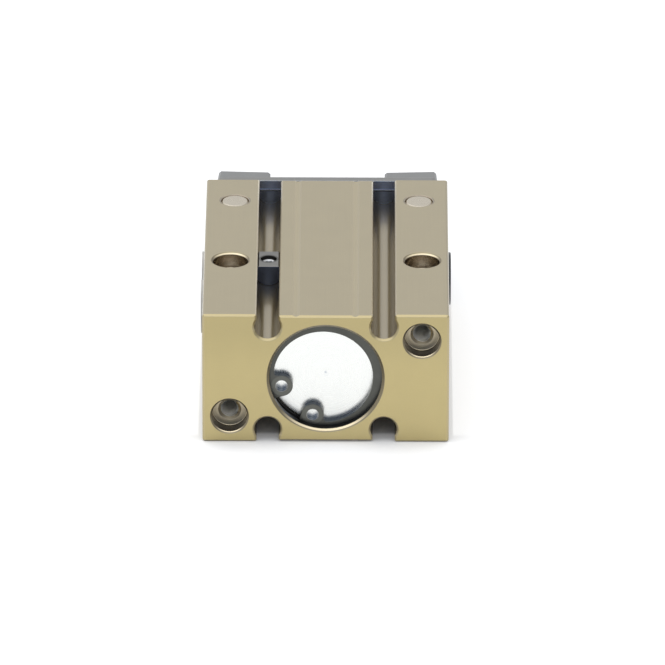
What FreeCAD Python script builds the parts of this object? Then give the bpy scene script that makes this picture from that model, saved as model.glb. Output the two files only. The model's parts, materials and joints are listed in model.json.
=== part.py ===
import FreeCAD, Part
import math
import os

# A small pneumatic gripper whose two jaws swing on pivot pins.
# Millimetres. The origin is the centre of the rear mounting face.
# +Y runs along the gripper towards the jaws, +Z comes out of the upper wide face,
# and +X is the way the right jaw opens. The jaws are shut, a little past parallel.

# Housing block
BODY_WIDTH = 35.0
BODY_HEIGHT = 19.8
BODY_LENGTH = 47.6
BODY_CORNER = 0.4
EDGE_BEVEL = 0.28

# Slots and shallow grooves along both wide faces
SLOT_OFFSET = 8.25
SLOT_MOUTH = 3.15
SLOT_DIAMETER = 3.75
SLOT_AXIS_DEPTH = 1.9
SLOT_LIP = 0.2
LAND_RELIEF = 0.15
SCORE_OFFSET = 4.2
SCORE_WIDTH = 0.95
SCORE_DEPTH = 0.15

# Tapped holes with a centring seat, in the rear face and in both wide faces
SEAT_DIAMETER = 5.0
SEAT_DEPTH = 2.4
SEAT_BEVEL = 0.28
DRILL_TIP_SLOPE = 31.0
SCREW_MAJOR = 3.0
SCREW_CORE = 2.5
SCREW_MOUTH = 3.3
REAR_HOLE_INSET = 3.85
REAR_HOLE_DROP = 4.0
REAR_HOLE_DEPTH = 10.0
SIDE_HOLE_INSET = 3.8
SIDE_HOLE_Y = 19.0

# Cylinder and what shuts it
BORE_DIAMETER = 16.0
BORE_BEVEL = 0.4
CIRCLIP_SETBACK = 1.35
CIRCLIP_THICKNESS = 1.0
CIRCLIP_GROOVE_DEPTH = 0.4
CIRCLIP_WIDEST = 1.78
CIRCLIP_NARROWEST = 0.78
CIRCLIP_GAP_TURN = 224.6
CIRCLIP_LUG_TURN = 28.9
CIRCLIP_LUG_RADIUS = 1.6
CIRCLIP_LUG_ROOT = 0.6
CIRCLIP_EYE_DIAMETER = 1.7
CIRCLIP_EYE_CIRCLE = 13.0
CAP_THICKNESS = 4.65
CAP_BEVEL = 0.3
CAP_MARK_DIAMETER = 1.4
CAP_MARK_DEPTH = 0.08
CORD_DIAMETER = 1.0
BUMPER_THICKNESS = 0.8
BUMPER_WIDTH = 2.6
BUMPER_ROD_GAP = 0.5

# Piston group
ROD_DIAMETER = 6.0
SPIGOT_DIAMETER = 5.0
PISTON_GAP = 0.15
PISTON_REAR_GAP = 1.4
PISTON_REAR_LENGTH = 3.0
PISTON_HEAD_LENGTH = 5.1
PISTON_NOSE_LENGTH = 0.9
PISTON_SHOULDER_DEPTH = 1.5
SEAL_WIDTH = 1.8
SEAL_DEPTH = 1.6
GUIDE_WIDTH = 1.2
GUIDE_DEPTH = 0.9
PISTON_LAND = 0.7
MAGNET_LENGTH = 2.8
MAGNET_BORE = 7.0
MAGNET_CAP_FLANGE = 1.65
STROKE_RESERVE = 0.12
PISTON_SCREW_HEAD = 5.5
PISTON_SCREW_HEAD_HEIGHT = 1.5
PISTON_SCREW_REACH = 6.0
PISTON_SCREW_SOCKET = 2.5

# Rod guide in the wall between cylinder and jaw fork
ROD_SEAL_WALL = 1.8
ROD_SEAL_LENGTH = 2.0
BUSH_WALL = 1.0

# Jaws, their fork and their pivot pins
FORK_HEIGHT = 10.0
FORK_DEPTH = 12.8
FORK_CORNER = 0.6
PIVOT_INSET = 4.2
PIVOT_SETBACK = 7.7
PIVOT_DIAMETER = 4.0
PIVOT_RECESS = 0.03
PIVOT_BEVEL = 0.25
PIVOT_RIM = 0.08
JAW_WIDTH = 7.6
JAW_REACH = 22.3
JAW_CORNER = 0.4
JAW_BEVEL = 0.3
JAW_CLOSED = 3.0
JAW_OPEN = 20.0
JAW_BUSH_WALL = 0.7
WASHER_THICKNESS = 0.2
WASHER_WIDTH = 1.35
JAW_HOLE_REACH = 15.0
JAW_HOLE_SPACING = 6.2
JAW_SEAT_DEPTH = 1.2

# Crosshead that swings the jaws
DRIVE_PIN_X = 4.5
DRIVE_PIN_DIAMETER = 3.0
ARM_THICKNESS = 4.8
ARM_CHEEK = 1.2
ARM_TIP = 1.2
ARM_CORNER = 0.7
ARM_SLOT_RESERVE = 0.3
DRIVER_LENGTH = 5.2
DRIVER_WEB = 4.6
DRIVER_SIDE_WALL = 0.8
DRIVER_CORNER = 0.4
DRIVER_FORK_GAP = 0.3
DRIVER_SCREW_DIAMETER = 2.5
DRIVER_SCREW_HEAD = 4.4
DRIVER_SCREW_HEAD_HEIGHT = 1.4
DRIVER_SCREW_REACH = 6.0
DRIVER_SCREW_SOCKET = 2.0
DRIVER_SOCKET_DEPTH = 1.0

# Front plate
PLATE_THICKNESS = 1.6
PLATE_SIDE_INSET = 1.5
PLATE_TOP_INSET = 0.4
PLATE_CORNER = 0.8
PLATE_REBATE_HEIGHT = 1.35
PLATE_REBATE_DEPTH = 0.3
PLATE_JAW_GAP = 0.5
PLATE_NOTCH_GAP = 0.2
PLATE_SCREW_INSET = 3.0
PLATE_SCREW_DIAMETER = 2.0
PLATE_SCREW_HEAD = 3.8
PLATE_SCREW_LENGTH = 4.6
PLATE_SCREW_SOCKET = 1.3

# Air ports
PORT_HEIGHT = 4.6
PORT_REAR_Y = 14.55
PORT_FRONT_Y = 24.45
PORT_CORE = 4.2
PORT_DEPTH = 5.8
PORT_CHANNEL = 1.6
PORT_RING_DIAMETER = 7.6
PORT_RING_WALL = 1.1
PORT_RING_THICKNESS = 0.9
PORT_RING_PROUD = 0.35
PORT_PLUG_LENGTH = 4.0
PORT_PLUG_SOCKET = 2.5
PORT_PLUG_BEVEL = 0.1

# Stop in the left upper slot
STOP_START = 18.4
STOP_LENGTH = 5.2
STOP_DROP = 0.72
STOP_BEVEL = 0.1
STOP_SCREW_DIAMETER = 2.3
STOP_SCREW_DROP = 0.48
STOP_SCREW_SOCKET = 1.3
STOP_SOCKET_MOUTH = 1.75
STOP_SOCKET_DEPTH = 1.0

# Clearances
RUNNING = 0.03
FIXED = 0.01
SLIDING = 0.1
SEATED = 0.05

# Places that follow from the sizes above
TOP = BODY_HEIGHT / 2
SIDE = BODY_WIDTH / 2
LAND = TOP - LAND_RELIEF
BORE = BORE_DIAMETER / 2
ROD = ROD_DIAMETER / 2
SPIGOT = SPIGOT_DIAMETER / 2
PIVOT = PIVOT_DIAMETER / 2
PIVOT_X = SIDE - PIVOT_INSET
PIVOT_Y = BODY_LENGTH - PIVOT_SETBACK
FORK_FLOOR = BODY_LENGTH - FORK_DEPTH
FORK_HALF = FORK_HEIGHT / 2
REAR_HOLE_X = SIDE - REAR_HOLE_INSET
REAR_HOLE_Z = TOP - REAR_HOLE_DROP
SIDE_HOLE_X = SIDE - SIDE_HOLE_INSET

CAP_START = CIRCLIP_SETBACK + CIRCLIP_THICKNESS + SEATED
CAP_END = CAP_START + CAP_THICKNESS
MAGNET_CAP_START = CAP_END + BUMPER_THICKNESS + SEATED
MAGNET_START = MAGNET_CAP_START + MAGNET_CAP_FLANGE
PISTON_START = MAGNET_START + MAGNET_LENGTH + SEATED
HEAD_START = PISTON_START + PISTON_REAR_LENGTH
NOSE_START = HEAD_START + PISTON_HEAD_LENGTH
PISTON_END = NOSE_START + PISTON_NOSE_LENGTH
SHOULDER = PISTON_END - PISTON_SHOULDER_DEPTH
PISTON = BORE - PISTON_GAP
PISTON_REAR = BORE - PISTON_REAR_GAP

ARM_REACH = PIVOT_X - DRIVE_PIN_X
HALF_SWING = math.radians(JAW_CLOSED + JAW_OPEN) / 2
ARM_TILT = (JAW_OPEN - JAW_CLOSED) / 2
STROKE = 2 * ARM_REACH * math.tan(HALF_SWING)
DRIVE_PIN_Y = PIVOT_Y - STROKE / 2
DRIVE_PIN = DRIVE_PIN_DIAMETER / 2
DRIVER_START = DRIVE_PIN_Y - DRIVER_LENGTH / 2
DRIVER_END = DRIVE_PIN_Y + DRIVER_LENGTH / 2
BORE_END = PISTON_END + STROKE + STROKE_RESERVE + BUMPER_THICKNESS

JAW_HALF = FORK_HALF - WASHER_THICKNESS - SEATED
JAW_BORE = PIVOT + RUNNING + JAW_BUSH_WALL
ARM_HALF = ARM_THICKNESS / 2
ARM_SLOT = DRIVE_PIN + SEATED
DRIVER_SIDE = DRIVE_PIN_X + DRIVE_PIN + DRIVER_SIDE_WALL
DRIVER_HALF = FORK_HALF - DRIVER_FORK_GAP
PLATE_FRONT = BODY_LENGTH + PLATE_THICKNESS
PLATE_TOP = TOP - PLATE_TOP_INSET
PLATE_SIDE = SIDE - PLATE_SIDE_INSET
PLATE_SCREW_X = PLATE_SIDE - PLATE_SCREW_INSET
PLATE_SCREW_Z = (FORK_HALF + TOP) / 2
RING = BORE + CIRCLIP_GROOVE_DEPTH


def vec(x, y, z):
    """Return a point or direction."""
    return FreeCAD.Vector(x, y, z)


def round_bar(radius, start, end):
    """Make a cylinder between two points."""
    run = vec(*end) - vec(*start)
    return Part.makeCylinder(radius, run.Length, vec(*start), run)


def cone(radius_start, radius_end, start, end):
    """Make a truncated cone between two points."""
    run = vec(*end) - vec(*start)
    return Part.makeCone(radius_start, radius_end, run.Length, vec(*start), run)


def block(x_span, y_span, z_span):
    """Make a box from its three spans."""
    spans = (x_span, y_span, z_span)
    lengths = [high - low for low, high in spans]
    return Part.makeBox(*lengths, vec(*[low for low, high in spans]))


def turned(outline):
    """Turn an outline of (radius, y) corners about the gripper's axis."""
    corners = [vec(radius, y, 0) for radius, y in outline]
    face = Part.Face(Part.makePolygon(corners + corners[:1]))
    return face.revolve(vec(0, 0, 0), vec(0, 1, 0), 360)


def ring(inner, outer, y_from, y_to):
    """Make a plain ring about the gripper's axis."""
    return turned([(inner, y_from), (outer, y_from), (outer, y_to), (inner, y_to)])


def section_bar(corners, y_from, y_to):
    """Run an outline of (x, z) corners along the gripper."""
    points = [vec(x, y_from, z) for x, z in corners]
    face = Part.Face(Part.makePolygon(points + points[:1]))
    return face.extrude(vec(0, y_to - y_from, 0))


def hexagon(across_flats, start, end):
    """Make a six-sided bar, the hollow of a socket, between two points."""
    run = vec(*end) - vec(*start)
    side = across_flats / math.sqrt(3)
    turns = [math.radians(60 * k) for k in range(6)]
    corners = [vec(side * math.cos(t), side * math.sin(t), 0) for t in turns]
    bar = Part.Face(Part.makePolygon(corners + corners[:1])).extrude(vec(0, 0, run.Length))
    bar.Placement = FreeCAD.Placement(vec(*start), FreeCAD.Rotation(vec(0, 0, 1), run))
    return bar


def mirrored(shape):
    """Return the left-hand twin of a right-hand piece."""
    return shape.mirror(vec(0, 0, 0), vec(1, 0, 0))


def together(shapes):
    """Fuse a list of solids into one."""
    return shapes[0].multiFuse(shapes[1:])


def seat_hole(mouth, inward, depth, seat_depth):
    """Cutter for a tapped hole with a centring seat and a bevelled rim."""
    start = vec(*mouth)
    way = vec(*inward)
    seat = SEAT_DIAMETER / 2
    core = SCREW_CORE / 2
    lip = SCREW_MOUTH / 2
    floor = start + way * seat_depth
    bottom = start + way * depth
    return together([
        Part.makeCone(seat + 2 * SEAT_BEVEL, seat, 2 * SEAT_BEVEL, start - way * SEAT_BEVEL, way),
        Part.makeCylinder(seat, seat_depth, start, way),
        Part.makeCone(lip, core, lip - core, floor, way),
        Part.makeCylinder(core, depth, start, way),
        Part.makeCone(core, 0, core * math.tan(math.radians(DRILL_TIP_SLOPE)), bottom, way),
    ])


def c_slot(x, side):
    """Cutter for one round-bottomed slot, in the upper (1) or lower (-1) face."""
    axis = side * (TOP - SLOT_AXIS_DEPTH)
    mouth = sorted((axis, side * (TOP + 1)))
    half = SLOT_MOUTH / 2
    run = round_bar(SLOT_DIAMETER / 2, (x, -1, axis), (x, BODY_LENGTH + 1, axis))
    return run.fuse(block((x - half, x + half), (-1, BODY_LENGTH + 1), mouth))


def slot_lips(x, side):
    """Cutter that bevels both lips of one slot."""
    inward = math.copysign(1, -x)
    inner = x + inward * SLOT_MOUTH / 2
    outer = x - inward * SLOT_MOUTH / 2
    flare = inward * (SLOT_LIP + 1)
    corners = [(inner, side * (LAND - SLOT_LIP)), (inner + flare, side * (LAND + 1)),
               (outer - flare, side * (TOP + 1)), (outer, side * (TOP - SLOT_LIP))]
    return section_bar(corners, -1, BODY_LENGTH + 1)


def score_line(x, side):
    """Cutter for one shallow round groove in the middle land."""
    radius = (SCORE_WIDTH ** 2 / 4 + SCORE_DEPTH ** 2) / (2 * SCORE_DEPTH)
    axis = side * (LAND - SCORE_DEPTH + radius)
    return round_bar(radius, (x, -1, axis), (x, BODY_LENGTH + 1, axis))


def housing_blank():
    """Extruded bar with its slots, lands and bevelled ends."""
    bar = block((-SIDE, SIDE), (0, BODY_LENGTH), (-TOP, TOP))
    long_edges = [e for e in bar.Edges if e.BoundBox.YLength > BODY_LENGTH / 2]
    bar = bar.makeFillet(BODY_CORNER, long_edges)
    cutters = []
    for side in (1, -1):
        span = sorted((side * LAND, side * (TOP + 1)))
        cutters.append(block((-SLOT_OFFSET, SLOT_OFFSET), (-1, BODY_LENGTH + 1), span))
        cutters.extend(c_slot(x, side) for x in (-SLOT_OFFSET, SLOT_OFFSET))
    bar = bar.cut(cutters).removeSplitter()
    rims = [e for e in bar.Edges if e.BoundBox.YLength < 1e-6]
    bar = bar.makeChamfer(EDGE_BEVEL, rims)
    grooves = []
    for side in (1, -1):
        grooves.extend(slot_lips(x, side) for x in (-SLOT_OFFSET, SLOT_OFFSET))
        grooves.extend(score_line(x, side) for x in (-SCORE_OFFSET, SCORE_OFFSET))
    return bar.cut(grooves)


def cylinder_hollow():
    """Cutter for the cylinder bore, circlip groove, rod seal seat and bush seat."""
    seal = ROD + ROD_SEAL_WALL
    bush = ROD + RUNNING + BUSH_WALL + FIXED
    groove_end = CAP_START + SEATED
    seal_end = BORE_END + ROD_SEAL_LENGTH + SEATED
    return turned([
        (0, -1),
        (BORE + BORE_BEVEL + 1, -1),
        (BORE, BORE_BEVEL),
        (BORE, CIRCLIP_SETBACK - SEATED),
        (RING, CIRCLIP_SETBACK - SEATED),
        (RING, groove_end),
        (BORE, groove_end),
        (BORE, BORE_END),
        (seal, BORE_END),
        (seal, seal_end),
        (bush, seal_end),
        (bush, FORK_FLOOR + 1),
        (0, FORK_FLOOR + 1),
    ])


def fork_hollow():
    """Cutter for the jaw fork, open to the front and to both sides."""
    hollow = block((-SIDE - 1, SIDE + 1), (FORK_FLOOR, BODY_LENGTH + 1), (-FORK_HALF, FORK_HALF))
    floor_edges = [e for e in hollow.Edges if e.BoundBox.YMax < FORK_FLOOR + 1e-6]
    inner = [e for e in floor_edges if e.BoundBox.XLength > BODY_WIDTH]
    return hollow.makeFillet(FORK_CORNER, inner)


def pivot_hole(x):
    """Cutter for one pivot pin hole through both fork arms."""
    radius = PIVOT + FIXED
    cutters = [round_bar(radius, (x, PIVOT_Y, -TOP - 1), (x, PIVOT_Y, TOP + 1))]
    for side in (1, -1):
        rim = (x, PIVOT_Y, side * (TOP + PIVOT_RIM))
        neck = (x, PIVOT_Y, side * (TOP - PIVOT_RIM))
        cutters.append(cone(radius + 2 * PIVOT_RIM, radius, rim, neck))
    return together(cutters)


def port_hollow(side, y):
    """Cutter for one air port, its ring seat and its channel to the cylinder."""
    core = PORT_CORE / 2
    seat = PORT_RING_DIAMETER / 2 + SLIDING
    seat_depth = PORT_RING_THICKNESS - PORT_RING_PROUD
    return together([
        round_bar(core, (side * (SIDE + 1), y, PORT_HEIGHT), (side * (SIDE - PORT_DEPTH), y, PORT_HEIGHT)),
        round_bar(seat, (side * (SIDE + 1), y, PORT_HEIGHT), (side * (SIDE - seat_depth), y, PORT_HEIGHT)),
        round_bar(PORT_CHANNEL / 2, (side * SIDE, y, PORT_HEIGHT), (side * BORE / 2, y, PORT_HEIGHT)),
    ])


def plate_screw_places():
    """Return the four (x, z) places of the front plate's screws."""
    return [(x, z) for x in (-PLATE_SCREW_X, PLATE_SCREW_X) for z in (-PLATE_SCREW_Z, PLATE_SCREW_Z)]


def housing():
    """Housing with all its bores, holes and ports."""
    cutters = [cylinder_hollow(), fork_hollow(), pivot_hole(PIVOT_X), pivot_hole(-PIVOT_X)]
    for side in (1, -1):
        rear = (side * REAR_HOLE_X, 0, side * REAR_HOLE_Z)
        cutters.append(seat_hole(rear, (0, 1, 0), REAR_HOLE_DEPTH, SEAT_DEPTH))
        for x in (-SIDE_HOLE_X, SIDE_HOLE_X):
            cutters.append(seat_hole((x, SIDE_HOLE_Y, side * TOP), (0, 0, -side), TOP, SEAT_DEPTH))
    cutters.append(port_hollow(-1, PORT_REAR_Y))
    cutters.append(port_hollow(-1, PORT_FRONT_Y))
    cutters.append(port_hollow(1, PORT_FRONT_Y))
    screw = PLATE_SCREW_DIAMETER / 2 + FIXED
    floor = PLATE_FRONT - PLATE_SCREW_LENGTH - SLIDING
    for x, z in plate_screw_places():
        cutters.append(round_bar(screw, (x, floor, z), (x, BODY_LENGTH + 1, z)))
    return housing_blank().cut(cutters).removeSplitter()


def end_cap():
    """Turned disc with a seal groove and a shallow centre mark."""
    radius = BORE - FIXED
    floor = BORE - CORD_DIAMETER
    half = CORD_DIAMETER / 2 + SEATED
    middle = (CAP_START + CAP_END) / 2
    return turned([
        (0, CAP_START + CAP_MARK_DEPTH),
        (CAP_MARK_DIAMETER / 2, CAP_START),
        (radius - CAP_BEVEL, CAP_START),
        (radius, CAP_START + CAP_BEVEL),
        (radius, middle - half),
        (floor, middle - half),
        (floor, middle + half),
        (radius, middle + half),
        (radius, CAP_END - CAP_BEVEL),
        (radius - CAP_BEVEL, CAP_END),
        (0, CAP_END),
    ])


def end_cap_seal():
    """Sealing ring in the end cap's groove."""
    cord = CORD_DIAMETER / 2 - FIXED
    middle = (CAP_START + CAP_END) / 2
    return Part.makeTorus(BORE - CORD_DIAMETER / 2, cord, vec(0, middle, 0), vec(0, 1, 0))


def retaining_ring():
    """Internal circlip: an eccentric ring with a gap, two rooted lugs and two eyes."""
    start = (0, CIRCLIP_SETBACK, 0)
    end = (0, CIRCLIP_SETBACK + CIRCLIP_THICKNESS, 0)
    span = (start[1], end[1])
    outer = RING - SEATED
    inner = outer - (CIRCLIP_WIDEST + CIRCLIP_NARROWEST) / 2
    shift = (CIRCLIP_WIDEST - CIRCLIP_NARROWEST) / 2
    disc = round_bar(outer, start, end)
    band = disc.cut(round_bar(inner, (shift, start[1] - 1, 0), (shift, end[1] + 1, 0)))
    lug_turn = math.radians(CIRCLIP_LUG_TURN)
    far = BORE_DIAMETER
    wedge = [(0, 0), (far * math.cos(lug_turn), far * math.sin(lug_turn)), (far * 2, 0)]
    wedge.append((far * math.cos(lug_turn), -far * math.sin(lug_turn)))
    clip = band.cut(section_bar(wedge, start[1] - 1, end[1] + 1))
    reach = CIRCLIP_EYE_CIRCLE / 2
    eyes = []
    for turn in (CIRCLIP_LUG_TURN, -CIRCLIP_LUG_TURN):
        lug = round_bar(CIRCLIP_LUG_RADIUS, (reach, start[1], 0), (reach, end[1], 0))
        lug = lug.fuse(block((reach, outer), span, (-CIRCLIP_LUG_RADIUS, CIRCLIP_LUG_RADIUS)))
        eye = round_bar(CIRCLIP_EYE_DIAMETER / 2, (reach, start[1] - 1, 0), (reach, end[1] + 1, 0))
        for shape in (lug, eye):
            shape.rotate(vec(0, 0, 0), vec(0, 1, 0), -turn)
        clip = clip.fuse(lug.common(disc))
        eyes.append(eye)
    clip = clip.removeSplitter()
    uprights = [e for e in clip.Edges if max(e.BoundBox.XLength, e.BoundBox.ZLength) < 1e-6]
    nearest = reach + CIRCLIP_LUG_RADIUS / 2
    farthest = outer - SEATED
    roots = [e for e in uprights if nearest < math.hypot(e.BoundBox.XMax, e.BoundBox.ZMax) < farthest]
    clip = clip.makeFillet(CIRCLIP_LUG_ROOT, roots).cut(eyes)
    clip.rotate(vec(0, 0, 0), vec(0, 1, 0), -CIRCLIP_GAP_TURN)
    return clip


def rear_bumper():
    """Rubber ring on the end cap that the piston group rests against."""
    outer = BORE - PISTON_REAR_GAP - SLIDING
    return ring(outer - BUMPER_WIDTH, outer, CAP_END, CAP_END + BUMPER_THICKNESS)


def front_bumper():
    """Rubber ring at the front end of the cylinder, which also keeps the rod seal in."""
    return ring(ROD + BUMPER_ROD_GAP, BORE - FIXED, BORE_END - BUMPER_THICKNESS, BORE_END)


def rod_seal():
    """Lip ring around the piston rod."""
    outer = ROD + ROD_SEAL_WALL - FIXED
    inner = ROD + RUNNING
    lip = ROD_SEAL_WALL / 3
    end = BORE_END + ROD_SEAL_LENGTH
    return turned([
        (inner, BORE_END),
        (inner + lip, BORE_END),
        ((inner + outer) / 2, BORE_END + lip),
        (outer - lip, BORE_END),
        (outer, BORE_END),
        (outer, end),
        (inner, end),
    ])


def rod_bush():
    """Plain bearing for the piston rod."""
    inner = ROD + RUNNING
    return ring(inner, inner + BUSH_WALL, BORE_END + ROD_SEAL_LENGTH + SEATED, FORK_FLOOR)


def piston():
    """Piston with a slim rear part, two ring grooves and a nose."""
    seal_start = HEAD_START + PISTON_LAND
    seal_end = seal_start + SEAL_WIDTH
    guide_start = seal_end + PISTON_LAND
    guide_end = guide_start + GUIDE_WIDTH
    bore = SPIGOT + FIXED
    return turned([
        (bore, PISTON_START),
        (PISTON_REAR, PISTON_START),
        (PISTON_REAR, HEAD_START),
        (PISTON, HEAD_START),
        (PISTON, seal_start),
        (BORE - SEAL_DEPTH, seal_start),
        (BORE - SEAL_DEPTH, seal_end),
        (PISTON, seal_end),
        (PISTON, guide_start),
        (BORE - GUIDE_DEPTH, guide_start),
        (BORE - GUIDE_DEPTH, guide_end),
        (PISTON, guide_end),
        (PISTON, NOSE_START),
        (PISTON_REAR, NOSE_START),
        (PISTON_REAR, PISTON_END),
        (ROD + FIXED, PISTON_END),
        (ROD + FIXED, SHOULDER),
        (bore, SHOULDER),
    ])


def piston_seal():
    """Double-lipped ring in the piston's first groove."""
    start = HEAD_START + PISTON_LAND + FIXED
    end = start + SEAL_WIDTH - 2 * FIXED
    foot = BORE - SEAL_DEPTH + FIXED
    waist = PISTON - SLIDING
    lip = BORE - RUNNING
    middle = (start + end) / 2
    return turned([(foot, start), (waist, start), (lip, start + SLIDING), (waist, middle),
                   (lip, end - SLIDING), (waist, end), (foot, end)])


def piston_guide_ring():
    """Plain guide band in the piston's second groove."""
    start = HEAD_START + 2 * PISTON_LAND + SEAL_WIDTH
    return ring(BORE - GUIDE_DEPTH + FIXED, BORE - RUNNING, start + FIXED, start + GUIDE_WIDTH - FIXED)


def magnet():
    """Ring magnet that the slot's sensor would read."""
    return ring(MAGNET_BORE / 2, PISTON_REAR, MAGNET_START, MAGNET_START + MAGNET_LENGTH)


def magnet_cap():
    """Flanged sleeve that clamps the magnet to the piston."""
    neck = MAGNET_BORE / 2 - FIXED
    recess = PISTON_SCREW_HEAD / 2 + SLIDING
    hole = SCREW_MAJOR / 2 + SLIDING
    head_seat = MAGNET_CAP_START + PISTON_SCREW_HEAD_HEIGHT + SLIDING
    return turned([
        (recess, MAGNET_CAP_START),
        (PISTON_REAR, MAGNET_CAP_START),
        (PISTON_REAR, MAGNET_START),
        (neck, MAGNET_START),
        (neck, PISTON_START),
        (hole, PISTON_START),
        (hole, head_seat),
        (recess, head_seat),
    ])


def piston_screw():
    """Socket screw that holds the piston group on the rod."""
    seat = MAGNET_CAP_START + PISTON_SCREW_HEAD_HEIGHT + SLIDING
    start = seat - PISTON_SCREW_HEAD_HEIGHT
    head = PISTON_SCREW_HEAD / 2
    shank = SCREW_MAJOR / 2 - FIXED
    end = PISTON_START + PISTON_SCREW_REACH
    floor = seat - PISTON_SCREW_HEAD_HEIGHT / 3
    screw = turned([(0, start), (head, start), (head, seat), (shank, seat), (shank, end), (0, end)])
    return screw.cut(hexagon(PISTON_SCREW_SOCKET, (0, start - 1, 0), (0, floor, 0)))


def piston_rod():
    """Ground rod with a spigot for the piston and a tapped hole in each end."""
    rear = SCREW_MAJOR / 2
    front = DRIVER_SCREW_DIAMETER / 2
    rear_floor = PISTON_START + PISTON_SCREW_REACH + SEATED
    front_floor = DRIVER_START - DRIVER_SCREW_REACH - SEATED
    rod_start = PISTON_START + SEATED
    return turned([
        (rear, rod_start),
        (SPIGOT, rod_start),
        (SPIGOT, SHOULDER),
        (ROD, SHOULDER),
        (ROD, DRIVER_START),
        (front, DRIVER_START),
        (front, front_floor),
        (0, front_floor),
        (0, rear_floor),
        (rear, rear_floor),
    ])


def driver():
    """Crosshead of I section that carries the two drive pins between its flanges."""
    web = DRIVER_WEB / 2
    gap = ARM_HALF + SLIDING
    edge = DRIVER_SIDE - DRIVER_CORNER
    crest = DRIVER_HALF - DRIVER_CORNER
    quarter = [(web, gap), (DRIVER_SIDE, gap), (DRIVER_SIDE, crest), (edge, DRIVER_HALF)]
    upper_right = quarter
    upper_left = [(-x, z) for x, z in reversed(quarter)]
    lower_left = [(-x, -z) for x, z in quarter]
    lower_right = [(x, -z) for x, z in reversed(quarter)]
    bar = section_bar(upper_right + upper_left + lower_left + lower_right, DRIVER_START, DRIVER_END)
    hole = DRIVER_SCREW_DIAMETER / 2 + SLIDING
    cutters = [round_bar(hole, (0, DRIVER_START - 1, 0), (0, DRIVER_END + 1, 0))]
    for x in (-DRIVE_PIN_X, DRIVE_PIN_X):
        low = (x, DRIVE_PIN_Y, -FORK_HALF)
        cutters.append(round_bar(DRIVE_PIN + FIXED, low, (x, DRIVE_PIN_Y, FORK_HALF)))
    return bar.cut(cutters)


def driver_screw():
    """Low-headed screw that holds the crosshead on the rod."""
    head = DRIVER_SCREW_HEAD / 2
    shank = DRIVER_SCREW_DIAMETER / 2 - FIXED
    end = DRIVER_START - DRIVER_SCREW_REACH
    top = DRIVER_END + DRIVER_SCREW_HEAD_HEIGHT
    screw = turned([(0, end), (shank, end), (shank, DRIVER_END), (head, DRIVER_END), (head, top), (0, top)])
    return screw.cut(hexagon(DRIVER_SCREW_SOCKET, (0, top - DRIVER_SOCKET_DEPTH, 0), (0, top + 1, 0)))


def right_drive_pin():
    """Dowel across the crosshead that runs in the jaw's forked arm."""
    half = DRIVER_HALF - SEATED
    return round_bar(DRIVE_PIN, (DRIVE_PIN_X, DRIVE_PIN_Y, -half), (DRIVE_PIN_X, DRIVE_PIN_Y, half))


def jaw_finger():
    """Finger and hub of the right jaw about its pivot, pointing straight forward."""
    half = JAW_WIDTH / 2
    round_off = half - JAW_CORNER
    slant = JAW_CORNER * (1 - math.sqrt(0.5))
    shoulder = JAW_REACH - JAW_CORNER
    left = vec(-half, 0, 0)
    right = vec(half, 0, 0)
    edges = [
        Part.makeLine(left, vec(-half, shoulder, 0)),
        Part.Arc(vec(-half, shoulder, 0), vec(slant - half, JAW_REACH - slant, 0),
                 vec(-round_off, JAW_REACH, 0)).toShape(),
        Part.makeLine(vec(-round_off, JAW_REACH, 0), vec(round_off, JAW_REACH, 0)),
        Part.Arc(vec(round_off, JAW_REACH, 0), vec(half - slant, JAW_REACH - slant, 0),
                 vec(half, shoulder, 0)).toShape(),
        Part.makeLine(vec(half, shoulder, 0), right),
        Part.Arc(right, vec(0, -half, 0), left).toShape(),
    ]
    finger = Part.Face(Part.Wire(edges)).extrude(vec(0, 0, 2 * JAW_HALF))
    finger.translate(vec(0, 0, -JAW_HALF))
    rims = [e for e in finger.Edges if e.BoundBox.ZLength < 1e-6]
    return finger.makeChamfer(JAW_BEVEL, rims)


def jaw_arm():
    """Forked arm of the right jaw, pointing at the gripper's axis."""
    tip = ARM_REACH + ARM_TIP
    half = ARM_SLOT + ARM_CHEEK
    corners = [(0, -half), (0, half), (ARM_CORNER - tip, half), (-tip, half - ARM_CORNER),
               (-tip, ARM_CORNER - half), (ARM_CORNER - tip, -half)]
    points = [vec(x, y, -ARM_HALF) for x, y in corners]
    arm = Part.Face(Part.makePolygon(points + points[:1])).extrude(vec(0, 0, ARM_THICKNESS))
    root = ARM_SLOT_RESERVE - ARM_REACH
    slot = round_bar(ARM_SLOT, (root, 0, -FORK_HALF), (root, 0, FORK_HALF))
    slot = slot.fuse(block((-tip - 1, root), (-ARM_SLOT, ARM_SLOT), (-FORK_HALF, FORK_HALF)))
    arm = arm.cut(slot)
    arm.rotate(vec(0, 0, 0), vec(0, 0, 1), ARM_TILT)
    return arm


def right_jaw():
    """Right jaw: finger, hub and arm in one piece, shut past parallel."""
    jaw = jaw_finger().fuse(jaw_arm())
    cutters = [round_bar(JAW_BORE + FIXED, (0, 0, -FORK_HALF), (0, 0, FORK_HALF))]
    for y in (JAW_HOLE_REACH - JAW_HOLE_SPACING / 2, JAW_HOLE_REACH + JAW_HOLE_SPACING / 2):
        cutters.append(seat_hole((JAW_WIDTH / 2, y, 0), (-1, 0, 0), JAW_WIDTH + 1, JAW_SEAT_DEPTH))
    jaw = jaw.cut(cutters).removeSplitter()
    jaw.rotate(vec(0, 0, 0), vec(0, 0, 1), JAW_CLOSED)
    jaw.translate(vec(PIVOT_X, PIVOT_Y, 0))
    return jaw


def at_pivot(inner, outer, low, high):
    """Make a ring about the right pivot between two heights."""
    wall = round_bar(outer, (PIVOT_X, PIVOT_Y, low), (PIVOT_X, PIVOT_Y, high))
    return wall.cut(round_bar(inner, (PIVOT_X, PIVOT_Y, low - 1), (PIVOT_X, PIVOT_Y, high + 1)))


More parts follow.
